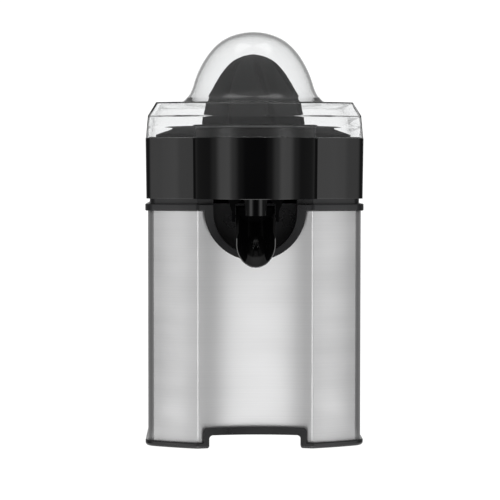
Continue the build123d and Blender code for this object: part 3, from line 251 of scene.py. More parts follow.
@dataclass(frozen=True)
class ClearPlastic:
    """Clear moulded plastic with a faint grey cast and a trace of handling haze."""

    name: str = "clear_plastic"
    color: Color = (0.955, 0.96, 0.962)
    tones: Pair = (0.99, 1.0)
    roughness: Pair = (0.0, 0.012)
    cloud: float = 22.0

    def make(self) -> bpy.types.Material:
        """Builds the material."""
        graph = Graph(self.name)
        haze = graph.noise((self.cloud,) * 3, detail=3.0)
        graph.paint(haze, self.color, self.tones)
        graph.feed("Roughness", graph.spread(haze, *self.roughness))
        graph.set(Transmission_Weight=1.0, IOR=1.49)
        return graph.material


@dataclass(frozen=True)
class TurnedMetal:
    """Small metal parts with faint machining marks round the drive axis."""

    name: str
    color: Color
    roughness: Pair
    mark: Triple = (300.0, 300.0, 2500.0)
    tones: Pair = (0.9, 1.06)

    def make(self) -> bpy.types.Material:
        """Builds the material."""
        graph = Graph(self.name)
        marks = graph.noise(self.mark, detail=3.0)
        graph.paint(marks, self.color, self.tones)
        graph.feed("Roughness", graph.spread(marks, *self.roughness))
        graph.set(Metallic=1.0)
        return graph.material


@dataclass(frozen=True)
class Layered:
    """Stacked sheets or wound wire: fine bands across one axis, on metal or enamel."""

    name: str
    color: Color
    band: Triple
    metallic: float
    roughness: Pair
    depth: float = 0.0001
    tones: Pair = (0.6, 1.15)

    def make(self) -> bpy.types.Material:
        """Builds the material."""
        graph = Graph(self.name)
        bands = graph.noise(self.band, detail=1.0)
        graph.paint(bands, self.color, self.tones)
        graph.feed("Roughness", graph.spread(bands, *self.roughness))
        graph.bump(bands, self.depth)
        graph.set(Metallic=self.metallic)
        return graph.material


class Finish(Enum):
    """The finishes of the juicer's pieces."""

    STEEL = BrushedSteel()
    GLOSS = MouldedPlastic("black_gloss", (0.0025, 0.0025, 0.0027), (0.05, 0.1), grain=260.0, depth=0.000004)
    SATIN = MouldedPlastic("black_satin", (0.011, 0.011, 0.012), (0.26, 0.34), grain=1500.0, depth=0.00002)
    CHARCOAL = MouldedPlastic("charcoal", (0.066, 0.066, 0.067), (0.7, 0.8), grain=1300.0, sheen=0.2)
    CLEAR = ClearPlastic()
    RUBBER = MouldedPlastic("rubber_black", (0.012, 0.012, 0.012), (0.62, 0.75), grain=900.0, depth=0.00004)
    PLAIN_STEEL = TurnedMetal("steel_plain", (0.55, 0.55, 0.56), (0.22, 0.34))
    # steel_dark: the spout pins are painted near black, as painted shade where they sit between lug and
    # trough
    DARK_STEEL = TurnedMetal("steel_dark", (0.012, 0.012, 0.013), (0.4, 0.5))
    IVORY = MouldedPlastic("gear_ivory", (0.72, 0.68, 0.56), (0.38, 0.48), grain=1400.0)
    BRONZE = TurnedMetal("bronze", (0.58, 0.36, 0.17), (0.32, 0.45))
    IRON = Layered("core_iron", (0.30, 0.30, 0.31), (20.0, 20.0, 1100.0), 1.0, (0.42, 0.55))
    COPPER = Layered("copper_winding", (0.62, 0.27, 0.11), (30.0, 1600.0, 30.0), 0.8, (0.28, 0.4))
    SWITCH = MouldedPlastic("switch_plastic", (0.05, 0.05, 0.055), (0.42, 0.52), grain=1600.0)


class Finishes:
    """Builds each finish once and hands out its material."""

    def __init__(self) -> None:
        """Starts with nothing built."""
        self.built: dict[Finish, bpy.types.Material] = {}

    def get(self, finish: Finish) -> bpy.types.Material:
        """The material of a finish, built on first use.

        Args:
            finish: Which finish.

        Returns:
            Its material.
        """
        if finish not in self.built:
            self.built[finish] = finish.value.make()
        return self.built[finish]


@dataclass
class CadGroup:
    """CAD nodes whose shapes stay as they are, all in one finish."""

    finish: Finish
    nodes: tuple[str, ...]

    def dress(self, finishes: Finishes) -> None:
        """Gives each node its material.

        Args:
            finishes: Where the materials come from.
        """
        for name in self.nodes:
            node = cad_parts[name]
            node.data.materials.clear()
            node.data.materials.append(finishes.get(self.finish))
            log.info("%s dressed in %s", name, self.finish.name.lower())


CAD_GROUPS = (
    CadGroup(Finish.STEEL, ("steel_shell",)),
    CadGroup(Finish.SATIN, ("top_deck", "base_frame", "bottom_cover")),
    CadGroup(Finish.CHARCOAL, ("strainer_basket", "pulp_control_ring", "reamer_hub")),
    CadGroup(Finish.RUBBER, ("rubber_feet", "cord_gland", "shaft_seal")),
    CadGroup(
        Finish.PLAIN_STEEL,
        (
            "base_screws",
            "drive_shaft",
            "shaft_clip",
            "spring_collar",
            "idler_axle",
            "gearbox_screws",
            "motor_bracket",
            "motor_screws",
            "rotor_shaft",
            "switch_screws",
        ),
    ),
    # spout pins in near-black steel: painted shade, so they show no highlight between lug and trough
    CadGroup(Finish.DARK_STEEL, ("spout_pins",)),
    CadGroup(Finish.IVORY, ("output_gear", "idler_gear", "gearbox_case", "gearbox_lid", "rotor_pinion")),
    CadGroup(Finish.BRONZE, ("shaft_bush", "lower_bush", "upper_bush", "rotor_bushes")),
    CadGroup(Finish.IRON, ("motor_core", "rotor_magnet")),
    CadGroup(Finish.COPPER, ("motor_coils",)),
    CadGroup(Finish.SWITCH, ("switch_body", "switch_button")),
)


class Plan:
    """A closed outline seen from above, met by rays from the drive axis."""

    def __init__(self, points: list[Pair]) -> None:
        """Keeps the outline.

        Args:
            points: Its corners in order, anticlockwise, as seen from above.
        """
        self.points = points

    @classmethod
    def rounded(cls, corners: list[Triple]) -> "Plan":
        """A polygon with an arc at each corner.

        Args:
            corners: Place and arc radius of each corner, anticlockwise.

        Returns:
            The outline.
        """
        points: list[Pair] = []
        for index, (x, y, radius) in enumerate(corners):
            corner = Vector((x, y))
            before = (Vector(corners[index - 1][:2]) - corner).normalized()
            after = (Vector(corners[(index + 1) % len(corners)][:2]) - corner).normalized()
            half = before.angle(after) / 2
            middle = corner + (before + after).normalized() * (radius / sin(half))
            start = corner + before * (radius / tan(half)) - middle
            turn = pi - 2 * half
            for step in range(ARC_STEPS + 1):
                a = turn * step / ARC_STEPS
                points.append(
                    (
                        middle.x + start.x * cos(a) - start.y * sin(a),
                        middle.y + start.x * sin(a) + start.y * cos(a),
                    )
                )
        return cls(points)

    def reach(self, angle: float) -> float:
        """How far the outline is from the drive axis.

        Args:
            angle: Direction, in radians from +X.

        Returns:
            The distance.
        """
        dx, dy = cos(angle), sin(angle)
        for index, (ax, ay) in enumerate(self.points):
            bx, by = self.points[(index + 1) % len(self.points)]
            first = dx * ay - dy * ax
            second = dx * by - dy * bx
            if first <= 0.0 < second:
                share = first / (first - second)
                x = ax + (bx - ax) * share
                y = ay + (by - ay) * share
                if x * dx + y * dy > 0.0:
                    return x * dx + y * dy
        raise ValueError(f"no outline at {angle}")


def softened(profile: list[Pair], rounds: int = 2) -> list[Pair]:
    """Cuts the corners off an open section, each round a quarter of the way along its sides.

    Args:
        profile: Points of the section.
        rounds: How often the corners are cut.

    Returns:
        The softer section, with its ends kept.
    """
    for _ in range(rounds):
        softer = [profile[0]]
        for (ar, az), (br, bz) in zip(profile, profile[1:]):
            softer.append((0.75 * ar + 0.25 * br, 0.75 * az + 0.25 * bz))
            softer.append((0.25 * ar + 0.75 * br, 0.25 * az + 0.75 * bz))
        softer.append(profile[-1])
        profile = softer
    return profile


class Ends(Enum):
    """How a stack of rings ends: each end with a face, or the last ring joined to the first."""

    CAPPED = "capped"
    JOINED = "joined"


def ring_mesh(name: str, rings: list[list[Triple]], ends: Ends) -> bpy.types.Object:
    """A smooth skin over a stack of rings with equal point counts.

    Args:
        name: The object's name.
        rings: Points of each ring in millimetres, anticlockwise from above.
        ends: How the stack ends.

    Returns:
        The object, linked to the scene.
    """
    count = len(rings[0])
    points = [point for ring in rings for point in ring]
    faces: list[tuple[int, ...]] = []
    rows = len(rings) if ends is Ends.JOINED else len(rings) - 1
    for row in range(rows):
        upper = (row + 1) % len(rings) * count
        for step in range(count):
            after = (step + 1) % count
            faces.append((row * count + step, row * count + after, upper + after, upper + step))
    if ends is Ends.CAPPED:
        faces.append(tuple(reversed(range(count))))
        faces.append(tuple(range((len(rings) - 1) * count, len(rings) * count)))
    return link_mesh(name, points, faces)


def link_mesh(name: str, points: list[Triple], faces: list[tuple[int, ...]]) -> bpy.types.Object:
    """An object with a mesh in millimetres, linked to the scene.

    Args:
        name: The object's name.
        points: The mesh's points.
        faces: The mesh's faces.

    Returns:
        The object.
    """
    mesh = bpy.data.meshes.new(name)
    mesh.from_pydata([(x * MM, y * MM, z * MM) for x, y, z in points], [], faces)
    mesh.shade_smooth()
    made = bpy.data.objects.new(name, mesh)
    bpy.context.scene.collection.objects.link(made)
    return made


def crease(piece: bpy.types.Object, angle: float) -> None:
    """Keeps edges sharp that turn by more than an angle in degrees."""
    piece.data.set_sharp_from_angle(angle=radians(angle))


def tube_mesh(name: str, centre: Pair, radii: Pair, heights: Pair, count: int) -> bpy.types.Object:
    """An upright tube, or a rod where its bore is nothing.

    Args:
        name: The object's name.
        centre: Where its axis stands.
        radii: Radius of its bore and its own radius.
        heights: Its two ends.
        count: Points round it.

    Returns:
        The object.
    """
    angles = compass(count)
    bore, radius = radii
    low, high = heights
    profile = [(radius, low), (radius, high)]
    if bore:
        profile = [(bore, high), (bore, low), *profile]
    rings = [[(centre[0] + r * cos(a), centre[1] + r * sin(a), z) for a in angles] for r, z in profile]
    return ring_mesh(name, rings, Ends.JOINED if bore else Ends.CAPPED)


def prism(name: str, shape: list[Pair], depths: Pair) -> bpy.types.Object:
    """A plate cut to a shape as seen from the front.

    Args:
        name: The object's name.
        shape: Its corners, in x and z.
        depths: Its front and back in y.

    Returns:
        The object.
    """
    count = len(shape)
    points = [(x, y, z) for y in depths for x, z in shape]
    faces: list[tuple[int, ...]] = [tuple(range(count)), tuple(reversed(range(count, 2 * count)))]
    for step in range(count):
        after = (step + 1) % count
        faces.append((after, step, step + count, after + count))
    made = link_mesh(name, points, faces)
    crease(made, 20.0)
    return made


def trough_mesh(name: str, rings: list[list[Triple]]) -> bpy.types.Object:
    """A skin over open U rings that go out along the outside and back along the inside.

    Args:
        name: The object's name.
        rings: The rings, each from one side's top to the other's.

    Returns:
        The object, closed at its back and along its tops.
    """
    count = len(rings[0])
    points = [point for ring in rings for point in ring]
    faces: list[tuple[int, ...]] = []
    for row in range(len(rings) - 1):
        for step in range(count - 1):
            here = row * count + step
            faces.append((here, here + count, here + count + 1, here + 1))
    last = (len(rings) - 1) * count
    faces.append(tuple(range(count)))
    faces.append(tuple(reversed(range(last, last + count))))
    for side in (0, count - 1):
        faces.append(tuple(row * count + side for row in range(len(rings))))
    return link_mesh(name, points, faces)


def cut(piece: bpy.types.Object, tool: bpy.types.Object) -> None:
    """Takes a tool's space out of a piece, and the tool out of the scene.

    Args:
        piece: What is cut.
        tool: A closed body.
    """
    taken = piece.modifiers.new("cut", "BOOLEAN")
    taken.operation = "DIFFERENCE"
    taken.object = tool
    result = bpy.data.meshes.new_from_object(piece.evaluated_get(bpy.context.evaluated_depsgraph_get()))
    piece.modifiers.remove(taken)
    piece.data = result
    bpy.data.objects.remove(tool)


def dress(piece: bpy.types.Object, material: bpy.types.Material, body: str) -> None:
    """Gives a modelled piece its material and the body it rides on.

    Args:
        piece: The piece.
        material: Its material.
        body: Name of the frame's body.
    """
    piece.data.materials.append(material)
    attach(piece, body)
    log.info("%s rides on %s", piece.name, body)


@dataclass(frozen=True)
class BodyOutline:
    """The outline that bowl and cover share: flat front, falling wings, round corners and a round nose.

    The radii are those of the ridges, the front corners and the back corners. wing_bow is how far the
    wings swell at their middle, and the radius there.
    """

    half_width: float = 86.5
    ridge: Pair = (46.0, 72.0)
    wing_fall: float = 19.0
    back: float = 100.0
    radii: Triple = (14.0, 5.0, 24.0)
    wing_bow: Pair = (1.8, 100.0)
    proud: float = 1.85
    nose_radius: float = 56.0
    nose_apex: float = 103.0

    def plan(self, inset: float) -> Plan:
        """The outline without its nose.

        Args:
            inset: How far inside the bowl's face it lies.

        Returns:
            The outline.
        """
        grow = self.proud - inset
        ridge_r, corner_r, back_r = (radius + grow for radius in self.radii)
        slope = atan2(self.wing_fall, self.half_width - self.ridge[0])
        side = self.half_width + grow
        front = -self.ridge[1] - grow
        ridge_x = self.ridge[0] + grow * tan(slope / 2)
        shoulder_y = self.wing_fall - self.ridge[1] - grow * tan((pi / 2 - slope) / 2)
        rear = self.back + grow
        bow, bow_r = self.wing_bow
        wing_x = (ridge_x + side) / 2 + bow * sin(slope)
        wing_y = (front + shoulder_y) / 2 - bow * cos(slope)
        return Plan.rounded(
            [
                (-ridge_x, front, ridge_r),
                (ridge_x, front, ridge_r),
                (wing_x, wing_y, bow_r),
                (side, shoulder_y, corner_r),
                (side, rear, back_r),
                (-side, rear, back_r),
                (-side, shoulder_y, corner_r),
                (-wing_x, wing_y, bow_r),
            ]
        )

    def nose_reach(self, angle: float, inset: float) -> float:
        """How far the nose is from the drive axis, or nothing where it isn't met.

        Args:
            angle: Direction, in radians from +X.
            inset: How far inside the bowl's face it lies.

        Returns:
            The distance.
        """
        radius = self.nose_radius - inset
        centre = self.nose_radius - self.nose_apex
        miss = centre * cos(angle)
        if abs(miss) >= radius:
            return 0.0
        return max(0.0, centre * sin(angle) + (radius * radius - miss * miss) ** 0.5)

    def reaches(self, angles: list[float], inset: float) -> list[float]:
        """Distances of the whole outline from the drive axis.

        Args:
            angles: Directions, in radians from +X.
            inset: How far inside the bowl's face it lies.

        Returns:
            A distance for each direction.
        """
        plan = self.plan(inset)
        return [max(plan.reach(angle), self.nose_reach(angle, inset)) for angle in angles]


def compass(count: int) -> list[float]:
    """Directions spread evenly round the drive axis, in radians."""
    return [2 * pi * step / count for step in range(count)]


def loft(sections: list[list[Pair]], angles: list[float]) -> list[list[Triple]]:
    """Turns a section for each direction into rings.

    Args:
        sections: Distances from the axis with heights, for each direction.
        angles: The directions.

    Returns:
        The rings, in the order of the sections' points.
    """
    rings: list[list[Triple]] = []
    for row in range(len(sections[0])):
        rings.append([(s[row][0] * cos(a), s[row][0] * sin(a), s[row][1]) for s, a in zip(sections, angles)])
    return rings


@dataclass
class DustCover:
    """Clear cover: a drafted skirt with a low nose, a chamfered deck and a bell dome.

    The wall is that of the skirt and that of the dome. Edges are rounder at the back: edge is how far the
    shoulder's rounding goes down the skirt, and the shares of the chamfer where it ends and where the
    deck's begins, and rear_edge is what the back adds. deck_round is how far the deck's rounding goes
    inwards and what the back adds, with the share deck_left kept flat. rear_ramp is how the back's share
    follows the sine of the direction: its slope and what is taken off.
    """

    outline: BodyOutline = BodyOutline()
    wall: Pair = (1.3, 2.2)
    rim_z: float = 251.0
    nose_z: float = 261.0
    shoulder_z: float = 269.0
    deck_z: float = 280.0
    draft: Pair = (0.25, 1.9)
    nose_draft: float = 1.1
    ledge_round: Pair = (0.8, 0.9)
    ledge_fall: Pair = (0.1, 0.05)
    deck_in: float = 8.6
    deck_round: Pair = (1.5, 7.0)
    deck_left: float = 0.4
    edge: Triple = (0.7, 0.07, 0.93)
    rear_edge: Triple = (4.0, 0.3, -0.38)
    rear_round: float = 0.75
    rear_ramp: Pair = (2.0, 0.2)
    dome: tuple[Pair, ...] = (
        (62.9, 280.0),
        (60.6, 281.0),
        (57.4, 283.4),
        (54.6, 286.4),
        (52.5, 289.6),
        (50.7, 294.0),
        (49.3, 298.9),
        (47.5, 303.9),
        (45.3, 308.9),
        (42.7, 313.9),
        (39.6, 318.9),
        (35.9, 323.9),
        (31.3, 328.9),
        (25.0, 333.7),
        (18.4, 336.9),
        (11.0, 339.1),
        (4.0, 339.9),
    )
    dome_rows: int = 12
    top_radius: float = 0.5
    around: int = 480

    def section(self, angle: float, plans: list[Plan], inset: float) -> list[Pair]:
        """The wall's section in one direction, from the rim to the deck.

        Args:
            angle: Direction, in radians from +X.
            plans: Outlines at the rim, at the shoulder and at the deck.
            inset: Zero for the outside, the wall for the inside.

        Returns:
            Distances from the axis with their heights.
        """
        rim, shoulder, deck = (plan.reach(angle) for plan in plans)
        nose_z = self.nose_z - inset
        shoulder_z = self.shoulder_z - inset
        deck_z = self.deck_z - inset
        wall = rim + (shoulder - rim) * (nose_z - self.rim_z) / (shoulder_z - self.rim_z)
        low = max(rim, self.outline.nose_reach(angle, self.draft[0] + inset))
        high = max(wall, self.outline.nose_reach(angle, self.draft[0] + self.nose_draft + inset))
        ledge = high - wall
        turn = min(self.ledge_round[0], ledge / 3)
        side = self.ledge_round[1]
        fall, slight = self.ledge_fall
        rear = self.rear_round * min(1.0, max(0.0, sin(angle) * self.rear_ramp[0] - self.rear_ramp[1]))
        lower, near, far = (front + more * rear for front, more in zip(self.edge, self.rear_edge))
        foot = self.dome[0][0]
        flat = deck - self.deck_round[0] - self.deck_round[1] * rear
        return softened(
            [
                (low, self.rim_z),
                ((low + high) / 2, (self.rim_z + nose_z) / 2),
                (high, nose_z - side),
                (high, nose_z - fall),
                (high - turn, nose_z - slight),
                (wall + turn, nose_z + slight),
                (wall, nose_z + fall),
                (wall, nose_z + side),
                (shoulder, shoulder_z - lower),
                (shoulder, shoulder_z),
                (shoulder + (deck - shoulder) * near, shoulder_z + (deck_z - shoulder_z) * near),
                (shoulder + (deck - shoulder) * far, shoulder_z + (deck_z - shoulder_z) * far),
                (deck, deck_z),
                (max(flat, foot + self.deck_left * (deck - foot)), deck_z),
            ]
        )

    def crown(self, inset: float) -> list[Pair]:
        """The dome's section, from the deck to the top.

        Args:
            inset: Zero for the outside, the skirt's wall for the inside.

        Returns:
            Distances from the axis with their heights.
        """
        outside = softened(list(self.dome))
        inside: list[Pair] = []
        swell = self.wall[1] / self.wall[0] - 1
        for index, (r, z) in enumerate(outside):
            ar, az = outside[max(index - 1, 0)]
            br, bz = outside[min(index + 1, len(outside) - 1)]
            run = Vector((br - ar, bz - az)).normalized()
            deep = inset * (1 + swell * min(1.0, index / self.dome_rows))
            inside.append((max(self.top_radius, r - deep * run.y), z + deep * run.x))
        return inside

    def build(self, finishes: Finishes) -> None:
        """Makes the cover.

        Args:
            finishes: Where the materials come from.
        """
        angles = compass(self.around)
        skins: list[list[list[Triple]]] = []
        for inset in (0.0, self.wall[0]):
            plans = [self.outline.plan(inset + more) for more in (*self.draft, self.deck_in)]
            crown = self.crown(inset)
            skins.append(loft([self.section(angle, plans, inset) + crown for angle in angles], angles))
        outer, inner = skins
        piece = ring_mesh("cover_shell", inner[::-1] + outer, Ends.CAPPED)
        dress(piece, finishes.get(Finish.CLEAR), "cover")
        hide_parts("dust_cover")


@dataclass
class JuiceBowl:
    """Gloss bowl with a chimney, a lip inside the cover's nose, an outlet and two lugs for the spout.

    Holds are rows of points that keep an edge's shading narrow: inside the foot's edge, over it and
    under the rim.
    """

    outline: BodyOutline = BodyOutline()
    low_z: float = 202.0
    rim_z: float = 251.0
    draft: float = 0.6
    edge: float = 0.2
    edge_cut: float = 0.3
    holds: Triple = (4.0, 0.5, 1.0)
    rim_round: float = 0.3
    lip_in: Pair = (2.5, 4.1)
    lip_h: Pair = (0.8, 7.5)
    lip_round: float = 0.4
    lip_foot: Pair = (8.0, 9.5)
    nose_run: float = 2.0
    wall: float = 2.6
    floor: Pair = (3.3, 6.0)
    floor_round: float = 3.0
    chimney: Pair = (10.1, 13.1)
    chimney_z: float = 244.0
    chimney_root: float = 2.0
    chimney_round: float = 0.5
    nozzle: Pair = (6.0, 9.0)
    nozzle_y: float = -85.0
    nozzle_z: Pair = (189.0, 204.0)
    hole_z: Pair = (179.0, 234.0)
    lug: tuple[Pair, ...] = (
        (9.5, 202.8),
        (22.5, 202.8),
        (18.7, 192.0),
        (18.7, 184.0),
        (16.1, 184.0),
        (16.1, 197.5),
    )
    lug_y: Pair = (-80.0, -72.0)
    around: int = 480

    def section(self, index: int, reach: dict[str, list[float]], depth: float) -> list[Pair]:
        """The bowl's section in one direction, from the chimney's foot round to it again.

        Args:
            index: Which direction.
            reach: Distances of the outlines by name.
            depth: Share of the nose's depth in this direction, from none to one.

        Returns:
            Distances from the axis with their heights.
        """
        face, foot = reach["face"][index], reach["foot"][index]
        lip, lip_back, inside = reach["lip"][index], reach["lip_back"][index], reach["inside"][index]
        lip_z = self.rim_z + self.lip_h[0] + (self.lip_h[1] - self.lip_h[0]) * depth
        floor_z = self.low_z + self.floor[1] + (self.floor[0] - self.floor[1]) * depth
        root_z = self.low_z + self.floor[1]
        bore, tube = self.chimney
        hold_in, hold_over, hold_under = self.holds
        rim, tip, top = self.rim_round, self.lip_round, self.chimney_round
        return [
            (bore, self.low_z),
            (tube, self.low_z),
            (foot - self.edge - hold_in, self.low_z),
            (foot - self.edge, self.low_z),
            (foot - self.edge * self.edge_cut, self.low_z + self.edge * self.edge_cut),
            (foot, self.low_z + self.edge),
            (foot, self.low_z + self.edge + hold_over),
            (face, self.rim_z - hold_under),
            (face, self.rim_z - rim),
            (face - rim, self.rim_z),
            (lip + rim, self.rim_z),
            (lip, self.rim_z + rim),
            (lip, lip_z - tip),
            (lip - tip, lip_z),
            (lip_back + tip, lip_z),
            (lip_back, lip_z - tip),
            (lip_back, self.rim_z - self.lip_foot[0]),
            (inside, self.rim_z - self.lip_foot[1]),
            (inside, floor_z + self.floor_round),
            (inside - self.floor_round, floor_z),
            (tube + self.chimney_root, root_z),
            (tube, root_z + self.chimney_root),
            (tube, self.chimney_z - top),
            (tube - top, self.chimney_z),
            (bore + top, self.chimney_z),
            (bore, self.chimney_z - top),
        ]

    def build(self, finishes: Finishes) -> None:
        """Makes the bowl with its outlet and lugs.

        Args:
            finishes: Where the materials come from.
        """
        gloss = finishes.get(Finish.GLOSS)
        angles = compass(self.around)
        insets = {
            "face": 0.0,
            "foot": self.draft,
            "lip": self.lip_in[0],
            "lip_back": self.lip_in[1],
            "inside": self.wall,
        }
        reach = {name: self.outline.reaches(angles, inset) for name, inset in insets.items()}
        plain = self.outline.plan(0.0)
        sections: list[list[Pair]] = []
        for index, angle in enumerate(angles):
            ahead = self.outline.nose_reach(angle, 0.0) - plain.reach(angle)
            sections.append(self.section(index, reach, min(1.0, max(0.0, ahead / self.nose_run))))
        shell = ring_mesh("bowl_shell", loft(sections, angles), Ends.JOINED)
        crease(shell, CREASE)
        centre = (0.0, self.nozzle_y)
        cut(shell, tube_mesh("outlet_hole", centre, (0.0, self.nozzle[0]), self.hole_z, 48))
        dress(shell, gloss, "bowl")
        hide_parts("juice_bowl")
        outlet = tube_mesh("bowl_outlet", centre, self.nozzle, self.nozzle_z, 64)
        crease(outlet, CREASE)
        dress(outlet, gloss, "bowl")
        for side, name in ((-1.0, "left"), (1.0, "right")):
            lug = prism(f"bowl_lug_{name}", [(side * x, z) for x, z in self.lug], self.lug_y)
            dress(lug, gloss, "bowl")


@dataclass
class DripSpout:
    """Trough that hangs on the spout's pins, its mouth cut almost upright."""

    pin: Pair = (-76.0, 188.0)
    slope: float = 48.0
    radius: float = 15.5
    wall: float = 1.9
    rise: float = 4.0
    back: float = -8.0
    mouth: Pair = (26.0, 40.0)
    thin: float = 0.6
    eave: float = 6.0
    steps: int = 28

    def ring(self, radius: float, rise: float, at: Pair) -> list[Triple]:
        """A U across the trough.

        Args:
            radius: Radius of its floor.
            rise: Height of its sides over the pins' axis.
            at: Distance along the trough at the sides' tops and at the floor.

        Returns:
            Points from one side's top round the floor to the other's.
        """
        a = radians(self.slope)
        points: list[Pair] = [(-radius, rise)]
        for step in range(self.steps + 1):
            turn = pi + pi * step / self.steps
            points.append((radius * cos(turn), radius * sin(turn)))
        points.append((radius, rise))
        ring: list[Triple] = []
        for x, up in points:
            share = (rise - up) / (rise + self.radius)
            along = at[0] + (at[1] - at[0]) * share
            y = self.pin[0] - along * cos(a) - up * sin(a)
            z = self.pin[1] - along * sin(a) + up * cos(a)
            ring.append((x, y, z))
        return ring

    def build(self, finishes: Finishes) -> None:
        """Makes the trough.

        Args:
            finishes: Where the materials come from.
        """
        inner = self.radius - self.wall
        end = (self.back, self.back)
        floor_end = (self.back + self.wall, self.back + self.wall)
        kink = (self.mouth[0] - self.eave, self.mouth[1] - self.eave)
        rings = [
            self.ring(self.radius, self.rise, end),
            self.ring(self.radius, self.rise, self.mouth),
            self.ring(self.radius - self.thin, self.rise, self.mouth),
            self.ring(inner, self.rise, kink),
            self.ring(inner, self.rise, floor_end),
        ]
        piece = trough_mesh("spout_trough", rings)
        crease(piece, CREASE)
        dress(piece, finishes.get(Finish.GLOSS), "spout")
        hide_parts("drip_spout")


@dataclass
class Reamer:
    """Pressing cone: seven broad lobes with soft valleys that lean a little round the axis.

    Angles are in degrees, the lean's by the millimetre and nothing at lean_z. Fades are where the
    valleys start and over what length they come up, over the foot's height and the tip's radius.
    """

    foot_z: float = 259.35
    section: tuple[Pair, ...] = (
        (43.3, 0.0),
        (43.3, 3.0),
        (42.8, 7.0),
        (41.4, 13.0),
        (40.6, 17.0),
        (39.9, 22.0),
        (37.6, 26.7),
        (34.2, 33.4),
        (30.6, 40.2),
        (26.3, 46.9),
        (20.6, 53.6),
        (16.4, 57.0),
        (9.7, 60.3),
        (4.6, 61.5),
        (1.2, 61.95),
    )
    inside: tuple[Pair, ...] = ((12.3, 37.8), (34.7, 23.0), (37.8, 0.0))
    valleys: int = 7
    first_valley: float = 285.0
    lean: float = 0.28
    lean_z: float = 25.0
    depth: float = 4.0
    width: float = 2.6
    swell: float = 0.4
    foot_fade: Pair = (1.0, 4.0)
    tip_fade: Pair = (3.0, 12.0)
    around: int = 336

    def relief(self, angle: float, radius: float, height: float) -> float:
        """How deep the surface lies under the plain cone.

        Args:
            angle: Direction, in radians from +X.
            radius: Radius of the plain cone there.
            height: Height over the foot.

        Returns:
            The depth.
        """
        pitch = 2 * pi / self.valleys
        first = radians(self.first_valley) + radians(self.lean) * (self.lean_z - height)
        away = (angle - first + pitch / 2) % pitch - pitch / 2
        share = 1.0
        for at, (start, length) in ((height, self.foot_fade), (radius, self.tip_fade)):
            share *= min(1.0, max(0.0, (at - start) / length))
        valley = self.depth * exp(-((away * radius / self.width) ** 2))
        return share * (valley + self.swell * (1 - abs(2 * away / pitch)) ** 2)

    def build(self, finishes: Finishes) -> None:
        """Makes the cone and lets it ride on its body.

        Args:
            finishes: Where the materials come from.
        """
        angles = compass(self.around)
        profile = softened(list(self.section), 1)
        rings: list[list[Triple]] = []
        for radius, height in self.inside:
            rings.append([(radius * cos(a), radius * sin(a), self.foot_z + height) for a in angles])
        for radius, height in profile:
            reach = [radius - self.relief(a, radius, height) for a in angles]
            rings.append([(r * cos(a), r * sin(a), self.foot_z + height) for r, a in zip(reach, angles)])
        piece = ring_mesh("reamer_cone", rings, Ends.CAPPED)
        dress(piece, finishes.get(Finish.CHARCOAL), "cone")
        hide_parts("reamer")


@dataclass
class ReturnSpring:
    """Coil between the output gear and the shaft's collar, made at its rest length; the real one shortens as
    the shaft goes down.
    """

    radius: float = 6.2
    wire: float = 0.6
    turns: int = 5
    steps: int = 48
    around: int = 14

    def build(self, finishes: Finishes) -> None:
        """Makes the coil in place of the frame's spring, fixed where it stands at rest.

        Args:
            finishes: Where the materials come from.
        """
        low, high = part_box("return_spring")
        foot = low[2] / MM + self.wire
        rise = (high[2] - low[2]) / MM - 2 * self.wire
        slope = rise / (2 * pi * self.turns)
        round_wire = compass(self.around)
        rings: list[list[Triple]] = []
        for step in range(self.turns * self.steps + 1):
            turn = 2 * pi * step / self.steps
            outward = Vector((cos(turn), sin(turn), 0.0))
            along = Vector((-self.radius * sin(turn), self.radius * cos(turn), slope)).normalized()
            up = along.cross(outward)
            centre = outward * self.radius + Vector((0.0, 0.0, foot + slope * turn))
            rings.append([tuple(centre + self.wire * (cos(a) * outward + sin(a) * up)) for a in round_wire])
        piece = ring_mesh("spring_coil", rings, Ends.CAPPED)
        crease(piece, 60.0)
        piece.data.materials.append(finishes.get(Finish.PLAIN_STEEL))
        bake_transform(piece)
        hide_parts("return_spring")
        log.info("%s bends between output and shaft", piece.name)


@dataclass(frozen=True)
class SoftLight:
    """A soft patch of light at the same bearing on both sides of the object, with angles in degrees.

    It is full within the first of its half-widths and gone at the second, and it comes up from the first
    of its elevations to the second.
    """

    radiance: float
    bearing: float
    widths: Pair
    heights: Pair


